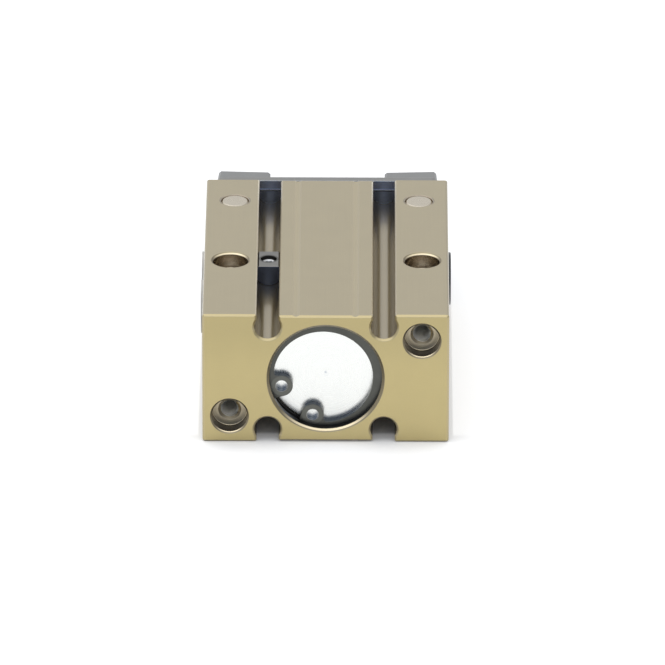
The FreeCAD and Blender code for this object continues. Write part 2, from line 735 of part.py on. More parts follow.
def right_jaw_bush():
    """Plain bearing pressed into the jaw's hub."""
    return at_pivot(PIVOT + RUNNING, JAW_BORE, -JAW_HALF, JAW_HALF)


def right_thrust_washers():
    """Thin washers above and below the jaw's hub."""
    inner = PIVOT + SEATED
    high = FORK_HALF - FIXED
    upper = at_pivot(inner, inner + WASHER_WIDTH, high - WASHER_THICKNESS, high)
    lower = at_pivot(inner, inner + WASHER_WIDTH, -high, WASHER_THICKNESS - high)
    return Part.makeCompound([upper, lower])


def right_pivot_pin():
    """Pivot pin across both fork arms, set a little below the wide faces."""
    high = TOP - PIVOT_RECESS
    pin = round_bar(PIVOT, (PIVOT_X, PIVOT_Y, -high), (PIVOT_X, PIVOT_Y, high))
    rims = [e for e in pin.Edges if e.BoundBox.ZLength < 1e-6]
    return pin.makeChamfer(PIVOT_BEVEL, rims)


def front_plate():
    """Plate across the fork's front, cut away at both sides for the jaws."""
    half = PLATE_SIDE
    sweep = (PLATE_FRONT - PIVOT_Y) * math.tan(math.radians(JAW_CLOSED))
    web = PIVOT_X - JAW_WIDTH / 2 - sweep - PLATE_JAW_GAP
    notch = FORK_HALF + PLATE_NOTCH_GAP
    plate = block((-half, half), (BODY_LENGTH, PLATE_FRONT), (-PLATE_TOP, PLATE_TOP))
    corners = [e for e in plate.Edges if e.BoundBox.YLength > PLATE_THICKNESS / 2]
    plate = plate.makeFillet(PLATE_CORNER, corners)
    rebate_end = BODY_LENGTH + PLATE_REBATE_DEPTH
    cutters = []
    for side in (1, -1):
        flank = sorted((side * web, side * (half + 1)))
        cutters.append(block(flank, (BODY_LENGTH - 1, PLATE_FRONT + 1), (-notch, notch)))
        ledge = sorted((side * (PLATE_TOP - PLATE_REBATE_HEIGHT), side * (PLATE_TOP + 1)))
        cutters.append(block((-half - 1, half + 1), (BODY_LENGTH - 1, rebate_end), ledge))
    head = PLATE_SCREW_HEAD / 2 + FIXED
    shank = PLATE_SCREW_DIAMETER / 2 + FIXED
    for x, z in plate_screw_places():
        cutters.append(round_bar(shank, (x, BODY_LENGTH - 1, z), (x, PLATE_FRONT + 1, z)))
        cutters.append(cone(head, shank, (x, PLATE_FRONT, z), (x, PLATE_FRONT - head + shank, z)))
    return plate.cut(cutters)


def front_plate_screws():
    """Four countersunk screws that hold the front plate."""
    head = PLATE_SCREW_HEAD / 2
    shank = PLATE_SCREW_DIAMETER / 2
    screws = []
    for x, z in plate_screw_places():
        face = (x, PLATE_FRONT - FIXED, z)
        neck = (x, PLATE_FRONT - FIXED - head + shank, z)
        stem = round_bar(shank, neck, (x, PLATE_FRONT - PLATE_SCREW_LENGTH, z))
        screw = cone(head, shank, face, neck).fuse(stem)
        socket = hexagon(PLATE_SCREW_SOCKET, (x, PLATE_FRONT + 1, z), (x, PLATE_FRONT - shank, z))
        screws.append(screw.cut(socket))
    return Part.makeCompound(screws)


def left_port_rings():
    """Flat sealing rings in the seats of the two open ports."""
    outer = PORT_RING_DIAMETER / 2
    inner = outer - PORT_RING_WALL
    out = -SIDE - PORT_RING_PROUD
    rings = []
    for y in (PORT_REAR_Y, PORT_FRONT_Y):
        start = (out, y, PORT_HEIGHT)
        washer = round_bar(outer, start, (out + PORT_RING_THICKNESS, y, PORT_HEIGHT))
        rings.append(washer.cut(round_bar(inner, start, (0, y, PORT_HEIGHT))))
    return Part.makeCompound(rings)


def right_port_plug():
    """Screwed plug with a low flange and a hexagon socket in the spare port."""
    flange = SIDE + PORT_RING_PROUD
    seat = flange - PORT_RING_THICKNESS
    place = (PORT_FRONT_Y, PORT_HEIGHT)
    head = round_bar(PORT_RING_DIAMETER / 2, (seat, *place), (flange, *place))
    rims = [e for e in head.Edges if e.BoundBox.XMin > flange - 1e-6]
    head = head.makeChamfer(PORT_PLUG_BEVEL, rims)
    stem = round_bar(PORT_CORE / 2 - FIXED, (seat - PORT_PLUG_LENGTH, *place), (seat, *place))
    socket = hexagon(PORT_PLUG_SOCKET, (flange + 1, *place), (flange - PORT_PLUG_SOCKET, *place))
    return head.fuse(stem).cut(socket)


def slot_stop():
    """Half-round stop that sits below the mouth of the left upper slot."""
    axis = TOP - SLOT_AXIS_DEPTH
    radius = SLOT_DIAMETER / 2 - SEATED
    end = STOP_START + STOP_LENGTH
    body = round_bar(radius, (-SLOT_OFFSET, STOP_START, axis), (-SLOT_OFFSET, end, axis))
    top = TOP - STOP_DROP
    cap = block((-SLOT_OFFSET - radius, radius - SLOT_OFFSET), (STOP_START - 1, end + 1), (top, TOP + 1))
    body = body.cut(cap)
    level = [e for e in body.Edges if e.BoundBox.ZMin > top - 1e-6]
    body = body.makeChamfer(STOP_BEVEL, [e for e in level if e.BoundBox.YLength < 1e-6])
    middle = STOP_START + STOP_LENGTH / 2
    screw = STOP_SCREW_DIAMETER / 2 + FIXED
    return body.cut(round_bar(screw, (-SLOT_OFFSET, middle, 0), (-SLOT_OFFSET, middle, TOP + 1)))


def slot_stop_screw():
    """Set screw that clamps the stop against the slot's floor."""
    middle = STOP_START + STOP_LENGTH / 2
    low = TOP - SLOT_AXIS_DEPTH - SLOT_DIAMETER / 2 + SEATED
    top = TOP - STOP_DROP - STOP_SCREW_DROP
    radius = STOP_SCREW_DIAMETER / 2
    axis = TOP - SLOT_AXIS_DEPTH
    screw = round_bar(radius, (-SLOT_OFFSET, middle, low), (-SLOT_OFFSET, middle, top))
    slot = round_bar(SLOT_DIAMETER / 2 - SEATED, (-SLOT_OFFSET, 0, axis), (-SLOT_OFFSET, BODY_LENGTH, axis))
    floor = (-SLOT_OFFSET, middle, top - STOP_SOCKET_DEPTH)
    socket = hexagon(STOP_SCREW_SOCKET, floor, (-SLOT_OFFSET, middle, TOP))
    lip = STOP_SOCKET_MOUTH / 2
    drive = STOP_SCREW_SOCKET / 2
    mouth = cone(lip, drive, (-SLOT_OFFSET, middle, top), (-SLOT_OFFSET, middle, top - lip + drive))
    return screw.common(slot).cut([socket, mouth])


PIECES = {
    "housing": housing,
    "end_cap": end_cap,
    "end_cap_seal": end_cap_seal,
    "retaining_ring": retaining_ring,
    "rear_bumper": rear_bumper,
    "front_bumper": front_bumper,
    "rod_seal": rod_seal,
    "rod_bush": rod_bush,
    "front_plate": front_plate,
    "front_plate_screws": front_plate_screws,
    "left_port_rings": left_port_rings,
    "right_port_plug": right_port_plug,
    "piston": piston,
    "piston_seal": piston_seal,
    "piston_guide_ring": piston_guide_ring,
    "magnet": magnet,
    "magnet_cap": magnet_cap,
    "piston_screw": piston_screw,
    "piston_rod": piston_rod,
    "driver": driver,
    "driver_screw": driver_screw,
    "slot_stop": slot_stop,
    "slot_stop_screw": slot_stop_screw,
}

PAIRS = {
    "pivot_pin": right_pivot_pin,
    "thrust_washers": right_thrust_washers,
    "drive_pin": right_drive_pin,
    "jaw": right_jaw,
    "jaw_bush": right_jaw_bush,
}


def main():
    """Write every piece to its own file."""
    os.makedirs("parts", exist_ok=True)
    for name, make in PIECES.items():
        make().exportStep(f"parts/{name}.step")
    for name, make in PAIRS.items():
        right = make()
        right.exportStep(f"parts/right_{name}.step")
        mirrored(right).exportStep(f"parts/left_{name}.step")


main()
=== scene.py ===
"""Finishes, cut threads, stage and camera for a small angular gripper."""

import json
import math
from types import SimpleNamespace

import bpy
from bpy.props import FloatProperty, FloatVectorProperty, IntProperty, PointerProperty
from mathutils import Matrix, Vector


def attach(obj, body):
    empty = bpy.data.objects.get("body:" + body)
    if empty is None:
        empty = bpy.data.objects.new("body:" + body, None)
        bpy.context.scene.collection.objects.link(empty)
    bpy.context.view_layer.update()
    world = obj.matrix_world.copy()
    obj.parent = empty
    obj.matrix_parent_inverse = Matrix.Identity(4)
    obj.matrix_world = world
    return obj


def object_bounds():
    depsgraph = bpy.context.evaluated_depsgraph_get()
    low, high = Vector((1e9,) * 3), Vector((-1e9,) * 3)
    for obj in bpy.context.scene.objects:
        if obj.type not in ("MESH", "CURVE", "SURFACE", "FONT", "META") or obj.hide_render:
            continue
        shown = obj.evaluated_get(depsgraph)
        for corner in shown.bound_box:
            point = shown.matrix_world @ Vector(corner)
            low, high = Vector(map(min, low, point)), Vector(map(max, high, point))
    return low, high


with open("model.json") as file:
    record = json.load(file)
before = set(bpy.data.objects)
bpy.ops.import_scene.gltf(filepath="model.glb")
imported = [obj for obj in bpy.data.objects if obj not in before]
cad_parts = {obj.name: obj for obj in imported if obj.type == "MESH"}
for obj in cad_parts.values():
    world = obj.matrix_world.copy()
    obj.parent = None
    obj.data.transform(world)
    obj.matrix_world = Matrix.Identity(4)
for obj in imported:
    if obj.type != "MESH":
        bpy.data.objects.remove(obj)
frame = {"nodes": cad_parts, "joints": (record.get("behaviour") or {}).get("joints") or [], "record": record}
CAD_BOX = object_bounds()

bl_info = {
    "name": "Angular Gripper Finishes",
    "version": (1, 0, 0),
    "blender": (4, 5, 0),
    "location": "View3D > Sidebar > Gripper",
    "description": "Dresses an angular gripper in machined and anodised finishes, "
                   "cuts its threads and lights it",
    "category": "Object",
}

MM = 0.001

# Places on the part, in metres in the shared frame, and distances at which the housing's finish changes
WIDE_FACE = 9.9 * MM
PIVOT = Vector(next(j["pos_m"] for j in frame["joints"] if j["name"] == "right_jaw_swing"))
PIN_EDGE = 2.13 * MM
PIN_GAP_SHADE = 2.27 * MM
PIN_COVER = 2.4 * MM
GAP_SHADE_ENDS = (1.6 * MM, 2.1 * MM)
SLOT_AXIS = (8.25 * MM, 8.0 * MM)
SLOT_EDGE = (1.97 * MM, 1.91 * MM)
SLOT_NECK = 0.58
SLOT_FRONT = (45 * MM, 46 * MM)
PLATE_SHADE_LENGTH = (36 * MM, 46 * MM)
PLATE_SHADE_HEIGHT = (7.6 * MM, 6.6 * MM)
LIP_REACH = 11 * MM
LIP_DEPTH = 0.4 * MM
SCORE_X = 4.2 * MM
SCORE_HALF = 0.45 * MM
REAR_HOLE = (13.65 * MM, 5.9 * MM)
REAR_HOLE_DEPTH = 11 * MM
REAR_RIM = (2.61 * MM, 2.76 * MM)
WIDE_HOLE = (13.7 * MM, 19.0 * MM)
WIDE_RIM = (2.68 * MM, 2.76 * MM)
HOLE_RIM_DEPTH = 0.3 * MM
SEAT_EDGE = 2.53 * MM
SEAT_WALL = 2.42 * MM
SEAT_FLOOR = 2.45 * MM
CORE_EDGE = 1.7 * MM
BORE_EDGE = 8.55 * MM
BORE_DEPTH = 33 * MM
BORE_RIM = (8.24 * MM, 8.38 * MM)
BORE_RIM_DEPTH = 0.42 * MM

# The same for the ring, the plate and the slot stop
RING_EYES = ((-1.846 * MM, -6.232 * MM), (-6.258 * MM, -1.759 * MM))
EYE_EDGE = 0.9 * MM
LUG_EDGE = 1.5 * MM
LIT_RIGHT_SIDE = (2 * MM, 8 * MM)
PLATE_LEDGE = 8.08 * MM
LEDGE_LIP = 0.1 * MM
LEDGE_TOP = 9 * MM
STOP_Y = 21 * MM
STOP_MOUTH = 0.88 * MM
STOP_WELL = 1.38 * MM

# Threads and seat corners: shares of their own size, and lengths of the threads
FOOT_HALF = 0.46
CREST_HALF = 0.07
SUNK_SHARE = 0.1
CORNER_STEPS = 4
THREAD_LEAD = 0.2
BLOCK_THREAD = 6.6 * MM
JAW_THREAD = 5.2 * MM
PORT_THREAD = 4.2 * MM
PORT_LEAD = 1.9 * MM
SMOOTH_ANGLE = math.radians(35)

# Ranges of a surface direction's x, y or z over which a mask comes in
LIT_UP = (0.4, 0.68)
LIT_BACK = (-0.15, -0.65)
LIP_FACING = (0.5, 0.6)
LIP_RIGHT = (-0.2, 0.2)
END_FACING = (0.55, 0.9)
BEVEL_UP = (0.5, 0.65)
BEVEL_BACK = (-0.5, -0.65)
PLATE_BACK = (-0.4, -0.8)
LEDGE_UP = (0.4, 0.8)
STOP_UP = (0.4, 0.6)

# How far the fine lines in a surface are drawn out along x, y and z
DRAWN_LINES = (1.0, 90.0, 1.0)
JAW_LINES = (1.0, 40.0, 1.0)
PLATE_LINES = (40.0, 1.0, 1.0)
CROSSHEAD_LINES = (30.0, 1.0, 1.0)
STOP_LINES = (1.0, 20.0, 1.0)

# Other shading
MASK_BLUR = 0.03 * MM
EDGE_SAMPLES = 6
EDGE_BEND = (0.02, 0.25)
NOISE_MIDDLE = 0.5
PORE_EDGE = (0.38, 0.5)
COARSE_TURNING = 12
LINE_SLANT = 0.37
# Height at which the painted shade on the end faces is full
END_SHADE_TOP = 8 * MM
COAT_IOR = 1.6

# Stage
TABLE_HALF = 2.5
SHADE_SAMPLES = 8
SHADE_REACH = 8 * MM
SHADE_RANGE = (0.02, 0.95)
SIDE_FADE = 0.4 * MM
REAR_FADE = 3 * MM
CONTACT_GLOW = 0.2
CONTACT_FADE = (3.4 * MM, 2.4 * MM)
SKY_RISE = (0.1, 1.0)
ROOM_BACK = (-0.35, -0.85)
ROOM_LOW = (0.75, 0.4)
CLEAR_AIR = (0.97, 0.985, 1.02, 1.0)
SHADED_AIR = (0.65, 0.87, 1.35, 1.0)
KEY_SIZE = 0.7
KEY_SPOT = Vector((-0.12, 0.1, 0.75))
FILL_SIZE = 0.6
FILL_SPOT = Vector((0.25, -0.9, 0.75))
SENSOR_WIDTH = 36.0


def length(name, description, default):
    """Property for a length in metres."""
    return FloatProperty(name=name, description=description, default=default, min=0.0, unit="LENGTH",
                         precision=5)


def colour(name, description, default):
    """Property for a surface colour."""
    return FloatVectorProperty(name=name, description=description, default=default, min=0.0, max=1.0,
                               subtype="COLOR", size=3)


def angle(name, description, degrees):
    """Property for an angle."""
    return FloatProperty(name=name, description=description, default=math.radians(degrees), subtype="ANGLE")


def level(name, description, default):
    """Property for a brightness or a share."""
    return FloatProperty(name=name, description=description, default=default)


def power(name, description, default):
    """Property for a lamp's power in watts."""
    return FloatProperty(name=name, description=description, default=default, unit="POWER")


class GripperSizes(bpy.types.PropertyGroup):
    """Sizes of the cut threads and of the fine surface marks."""

    screw_core: length("Screw core", "Radius of the screw holes inside their threads", 1.25 * MM)
    screw_pitch: length("Screw pitch", "Rise of the screw threads in one turn", 0.5 * MM)
    port_core: length("Port core", "Radius of the air ports inside their threads", 2.1 * MM)
    port_pitch: length("Port pitch", "Rise of the port threads in one turn", 0.8 * MM)
    thread_height: length("Thread height", "How far a thread stands in from the hole's wall", 0.16 * MM)
    thread_steps: IntProperty(name="Thread steps", description="Steps in one turn of a thread", default=24,
                              min=8)
    edge_radius: length("Edge radius", "Radius to which sharp edges are broken", 0.09 * MM)
    # Band along edges that is lightened for wear and as a painted edge highlight
    wear_and_sheen_width: length("Wear width", "Width of the rubbed band along edges", 0.22 * MM)
    blast_grain: length("Blast grain", "Size of the grain on the blasted housing", 0.11 * MM)
    turning_pitch: length("Turning pitch", "Distance between turning marks on lathe-cut faces", 0.09 * MM)
    seat_depth: length("Seat depth", "Depth of the centring seats", 2.4 * MM)
    seat_corner: length("Seat corner", "Radius that the cutter leaves in the corner of a seat", 0.15 * MM)


class GripperColours(bpy.types.PropertyGroup):
    """Colours of the finishes."""

    anodised: colour("Housing", "Anodised drawn aluminium of the long faces", (0.398, 0.333, 0.192))
    milled: colour("Milled ends", "Anodised aluminium of the milled end faces", (0.49, 0.4, 0.178))
    drawn: colour("Drawn slots", "Anodised aluminium inside the slots", (0.32, 0.257, 0.138))
    # Painted highlight on rims and slot lips that face up and back, and the cut metal of the seat corners
    cut_rim_and_highlight: colour("Cut rims", "Bevels turned on the holes after anodising", (0.86, 0.74, 0.5))
    bare: colour("Bare holes", "Aluminium inside the seats and holes", (0.42, 0.36, 0.28))
    faced: colour("Seat floors", "Turned floors of the centring seats in the rear face", (0.56, 0.48, 0.33))
    # Painted shade on the walls of the centring seats
    shade: colour("Seat walls", "Oily walls of the centring seats in the rear face", (0.1, 0.085, 0.07))
    # Painted shade inside the cylinder bore
    bore_shade: colour("Honed bore", "Oily wall of the cylinder", (0.13, 0.12, 0.105))
    # Edge colour for wear and for a painted edge highlight
    rubbed_and_sheen: colour("Rubbed edges", "Anodised edges where handling has lightened them", (0.62, 0.53, 0.31))
    cut_thread: colour("Cut threads", "Threads cut in the housing", (0.93, 0.91, 0.84))
    turned: colour("End cap", "Bright turned aluminium", (0.905, 0.912, 0.88))
    spring: colour("Retaining ring", "Oiled spring steel", (0.083, 0.084, 0.074))
    jaw: colour("Jaws", "Hardened and burnished jaw steel", (0.287, 0.288, 0.281))
    plate: colour("Front plate", "Ground face and edges of the plate", (0.282, 0.279, 0.266))
    # Painted shade: navy on the back of the plate and on the upright faces of the slot stop
    navy_shade: colour("Blued steel", "Back of the plate and upright faces of the slot stop", (0.36, 0.42, 0.6))
    ground: colour("Pins and rod", "Ground steel", (0.575, 0.52, 0.42))
    machined: colour("Crosshead", "Machined steel", (0.42, 0.42, 0.41))
    screw: colour("Screws", "Steel screws", (0.55, 0.55, 0.545))
    stop: colour("Slot stop", "Dull plated steel", (0.217, 0.211, 0.194))
    black: colour("Port plug", "Blackened steel", (0.02, 0.021, 0.024))
    bronze: colour("Bushes", "Sintered bearing bronze", (0.56, 0.36, 0.16))
    rubber: colour("Seals", "Black rubber", (0.017, 0.017, 0.018))
    pale: colour("Port rings", "Pale polymer", (0.84, 0.83, 0.79))
    guide: colour("Guide ring", "Brown filled polymer", (0.12, 0.085, 0.055))
    magnet: colour("Magnet", "Pressed magnet alloy", (0.11, 0.11, 0.115))
    floor: colour("Floor", "Matt white table", (0.86, 0.86, 0.855))


class GripperStage(bpy.types.PropertyGroup):
    """Where the camera stands and how bright the studio is."""

    elevation: angle("Elevation", "Camera's height angle", 24.63)
    turn: angle("Turn", "Camera's turn about the upright", -0.176)
    roll: angle("Roll", "Camera's turn about its own line of sight", 0.1145)
    distance: length("Distance", "From the camera to the middle of the rear face", 1.5768)
    aim_right: length("Aim right", "How far right of the rear face's middle the camera aims", 0.961 * MM)
    aim_up: length("Aim up", "How far above the rear face's middle the camera aims", 6.561 * MM)
    lens: FloatProperty(name="Lens", description="Focal length", default=601.9, min=1.0, unit="CAMERA")
    sky_low: level("Low sky", "Brightness of the studio near the horizon", 0.78)
    sky_high: level("High sky", "Brightness of the studio overhead", 1.3)
    sky_fill: level("Sky fill", "Share of the sky that lights matt surfaces", 0.55)
    sky_lean: level("Sky lean", "How much brighter the studio is on the left than in the middle", 0.25)
    room_shade: level("Room shade", "How much darker the room is low down behind the camera", 0.6)
    floor_glow: level("Floor glow", "White that the floor adds to its lit colour", 0.5)
    key_power: power("Key power", "Power of the overhead softbox", 1.7)
    fill_power: power("Fill power", "Power of the front softbox", 0.5)


class Wire:
    """Output socket of a node. Arithmetic on it adds Math nodes."""

    def __init__(self, graph, socket):
        self.graph = graph
        self.socket = socket

    def __add__(self, other):
        return self.graph.maths("ADD", self, other)

    def __radd__(self, other):
        return self.graph.maths("ADD", other, self)

    def __sub__(self, other):
        return self.graph.maths("SUBTRACT", self, other)

    def __rsub__(self, other):
        return self.graph.maths("SUBTRACT", other, self)

    def __mul__(self, other):
        return self.graph.maths("MULTIPLY", self, other)

    def __rmul__(self, other):
        return self.graph.maths("MULTIPLY", other, self)

    def __pow__(self, other):
        return self.graph.maths("POWER", self, other)

    def __abs__(self):
        return self.graph.maths("ABSOLUTE", self)

    def swing(self, amount):
        """Noise as a change of an amount about 0."""
        return amount * (self - NOISE_MIDDLE)


class Graph:
    """Node tree of one material or of the world."""

    def __init__(self, tree):
        tree.nodes.clear()
        self.tree = tree

    def node(self, kind, settings=None, sockets=None, output=0):
        """Add a node, set it up, feed its sockets and return one of its outputs."""
        node = self.tree.nodes.new(kind)
        for name, value in (settings or {}).items():
            setattr(node, name, value)
        for name, value in (sockets or {}).items():
            if isinstance(value, Wire):
                self.tree.links.new(value.socket, node.inputs[name])
            else:
                node.inputs[name].default_value = value
        return Wire(self, node.outputs[output]) if node.outputs else None

    def maths(self, operation, *values):
        """Work out a number from one or two values."""
        return self.node("ShaderNodeMath", {"operation": operation}, dict(enumerate(values)))

    def vectors(self, operation, *values, output="Vector"):
        """Work out a vector, or a number with output Value, from vectors."""
        return self.node("ShaderNodeVectorMath", {"operation": operation}, dict(enumerate(values)), output)

    def tint(self, base, tone):
        """Darken or lighten a colour by a number."""
        return self.node("ShaderNodeVectorMath", {"operation": "SCALE"}, {0: base, "Scale": tone})

    def blend(self, factor, first, second):
        """Go from the first colour to the second as factor goes from 0 to 1."""
        settings = {"data_type": "RGBA", "clamp_factor": True}
        return self.node("ShaderNodeMix", settings, {0: factor, 6: first, 7: second}, 2)

    def ramp(self, value, low, high):
        """Smooth step from 0 at low to 1 at high."""
        sockets = {"Value": value, "From Min": low, "From Max": high}
        return self.node("ShaderNodeMapRange", {"interpolation_type": "SMOOTHSTEP"}, sockets)

    def place(self):
        """Place on the part, in metres in the shared frame."""
        return self.node("ShaderNodeTexCoord", output="Object")

    def axes(self, place):
        """Split a place into its x, y and z."""
        split = self.node("ShaderNodeSeparateXYZ", sockets={0: place})
        return [Wire(self, s) for s in split.socket.node.outputs]

    def grain(self, place, size, detail=2.0, stretch=(1.0, 1.0, 1.0)):
        """Noise with marks of a size, drawn out along an axis whose stretch is over 1."""
        scale = Vector([1 / (size * s) for s in stretch])
        spread = self.vectors("MULTIPLY", place, scale)
        return self.node("ShaderNodeTexNoise", sockets={"Vector": spread, "Scale": 1.0, "Detail": detail})

    def bands(self, run, pitch, detail=1.0):
        """Noise along one distance, for turning marks and other parallel cuts."""
        sockets = {"W": run * (1 / pitch), "Scale": 1.0, "Detail": detail}
        return self.node("ShaderNodeTexNoise", {"noise_dimensions": "1D"}, sockets)

    def within(self, distance, edge):
        """1 where a distance is short of an edge and 0 past it."""
        return self.ramp(distance, edge + MASK_BLUR, edge - MASK_BLUR)

    def facing(self):
        """Surface direction's x, y and z before any relief."""
        return self.axes(self.node("ShaderNodeTexCoord", output="Normal"))

    def broken_edge(self, radius):
        """Surface direction with sharp edges rounded off."""
        return self.node("ShaderNodeBevel", {"samples": EDGE_SAMPLES}, {"Radius": radius})

    def edge_band(self, radius):
        """1 along sharp edges and 0 away from them."""
        flat = self.node("ShaderNodeNewGeometry", output="Normal")
        bent = self.vectors("DOT_PRODUCT", self.broken_edge(radius), flat, output="Value")
        return self.ramp(1 - bent, *EDGE_BEND)

    def relief(self, height, radius, depth, strength):
        """Surface direction with sharp edges rounded off and fine relief on top."""
        under = self.broken_edge(radius)
        sockets = {"Height": height, "Distance": depth, "Strength": strength, "Normal": under}
        return self.node("ShaderNodeBump", sockets=sockets)

    def surface(self, sockets):
        """Finish the material with a shader fed by these sockets."""
        shader = self.node("ShaderNodeBsdfPrincipled", sockets=sockets)
        self.node("ShaderNodeOutputMaterial", sockets={"Surface": shader})


def full(rgb):
    """Colour with an alpha of 1."""
    return (*rgb, 1.0)


def new_material(name):
    """Make an empty material and return it with its graph."""
    material = bpy.data.materials.new(name)
    material.use_nodes = True
    return material, Graph(material.node_tree)


def dress_node(name, material):
    """Give one node of the part a material."""
    for holder in frame["nodes"][name].material_slots:
        holder.material = material


def dress(slot, material):
    """Give every node of one of the record's material slots a material."""
    nodes = [part["node"] for part in frame["record"]["subparts"] if part["material_slot"] == slot]
    if not nodes:
        raise ValueError(f"no node has the material slot {slot}")
    for name in nodes:
        dress_node(name, material)


def diagonal(first, second):
    """Straight distance across two distances at right angles."""
    return (first * first + second * second) ** 0.5


def slot_mask(graph, x, z):
    """1 inside the four long slots and 0 on the faces around them."""
    above = abs(z) - SLOT_AXIS[1]
    rise = graph.maths("MAXIMUM", SLOT_NECK * above, -1 * above)
    return graph.ramp(diagonal(abs(x) - SLOT_AXIS[0], rise), *SLOT_EDGE)


def rim_masks(graph, x, y, z, rear, wide):
    """Mask of the bevels round the holes, and mask of what catches the light on them and on the slot lips."""
    over, along, up = graph.facing()
    bore = diagonal(x, z)
    depth = WIDE_FACE - abs(z)
    rear_rim = graph.within(rear, REAR_RIM[1]) * graph.within(y, HOLE_RIM_DEPTH)
    wide_rim = graph.within(wide, WIDE_RIM[1]) * graph.within(depth, HOLE_RIM_DEPTH)
    bore_rim = graph.within(bore, BORE_RIM[1]) * graph.within(y, BORE_RIM_DEPTH)
    rim = rear_rim + wide_rim + bore_rim
    inner = graph.within(rear, REAR_RIM[0]) + graph.within(wide, WIDE_RIM[0])
    inner = inner + graph.within(bore, BORE_RIM[0])
    lit = rim * inner * graph.ramp(up, *LIT_UP) * graph.ramp(along, *LIT_BACK)
    edge = graph.within(abs(x), LIP_REACH) * graph.within(depth, LIP_DEPTH)
    lip = edge * graph.ramp(abs(over), *LIP_FACING) * graph.ramp(up, *LIP_FACING)
    return rim, lit + lip * (0.3 + 0.7 * graph.ramp(over, *LIP_RIGHT))


def housing_masks(graph, x, y, z):
    """Masks of the housing's slots, holes, bevels and marks, and the distance from a rear hole's axis."""
    over, along, up = graph.facing()
    slot = slot_mask(graph, x, z)
    rear = diagonal(abs(x) - REAR_HOLE[0], z * graph.maths("SIGN", x) - REAR_HOLE[1])
    wide = diagonal(abs(x) - WIDE_HOLE[0], y - WIDE_HOLE[1])
    pivot = diagonal(abs(x) - PIVOT.x, y - PIVOT.y)
    rim, lit = rim_masks(graph, x, y, z, rear, wide)
    rear_hole = graph.within(rear, SEAT_EDGE) * graph.within(y, REAR_HOLE_DEPTH)
    seat = graph.within(rear, SEAT_WALL)
    shallow = graph.within(y, SEAT_FLOOR)
    bore = graph.within(diagonal(x, z), BORE_EDGE) * (1 - graph.within(y, BORE_RIM_DEPTH))
    score = graph.within(abs(abs(x) - SCORE_X), SCORE_HALF) * graph.within(WIDE_FACE - abs(z), LIP_DEPTH)
    # Painted shade in the gap round each pin, at its left and right ends
    pin_gap_shade = graph.within(pivot, PIN_GAP_SHADE) * graph.ramp(abs(abs(x) - PIVOT.x), *GAP_SHADE_ENDS)
    return SimpleNamespace(
        rear=rear, slot=slot, rim=rim, lit=lit, pin_gap_shade=pin_gap_shade,
        hole=rear_hole + graph.within(wide, SEAT_EDGE) + graph.within(pivot, PIN_EDGE),
        wall=rear_hole * (1 - seat),
        floor=rear_hole * seat * shallow,
        core=rear_hole * graph.within(rear, CORE_EDGE) * (1 - shallow),
        bore=bore * graph.within(y, BORE_DEPTH),
        covered=graph.maths("MAXIMUM", graph.within(pivot, PIN_COVER), slot * graph.ramp(y, *SLOT_FRONT)),
        # Painted shade and reflection of the plate, darkening the slot floors towards their front ends
        plate_shade=slot * graph.ramp(y, *PLATE_SHADE_LENGTH) * graph.ramp(abs(z), *PLATE_SHADE_HEIGHT),
        # Painted highlight in the score grooves, strongest on the flank facing +x
        score=score * (0.05 + 0.6 * graph.maths("MAXIMUM", over, 0.0)),
        end=graph.ramp(abs(along), *END_FACING),
        # Bevels facing up and back, which get a painted highlight
        bevel=graph.ramp(up, *BEVEL_UP) * graph.ramp(along, *BEVEL_BACK))


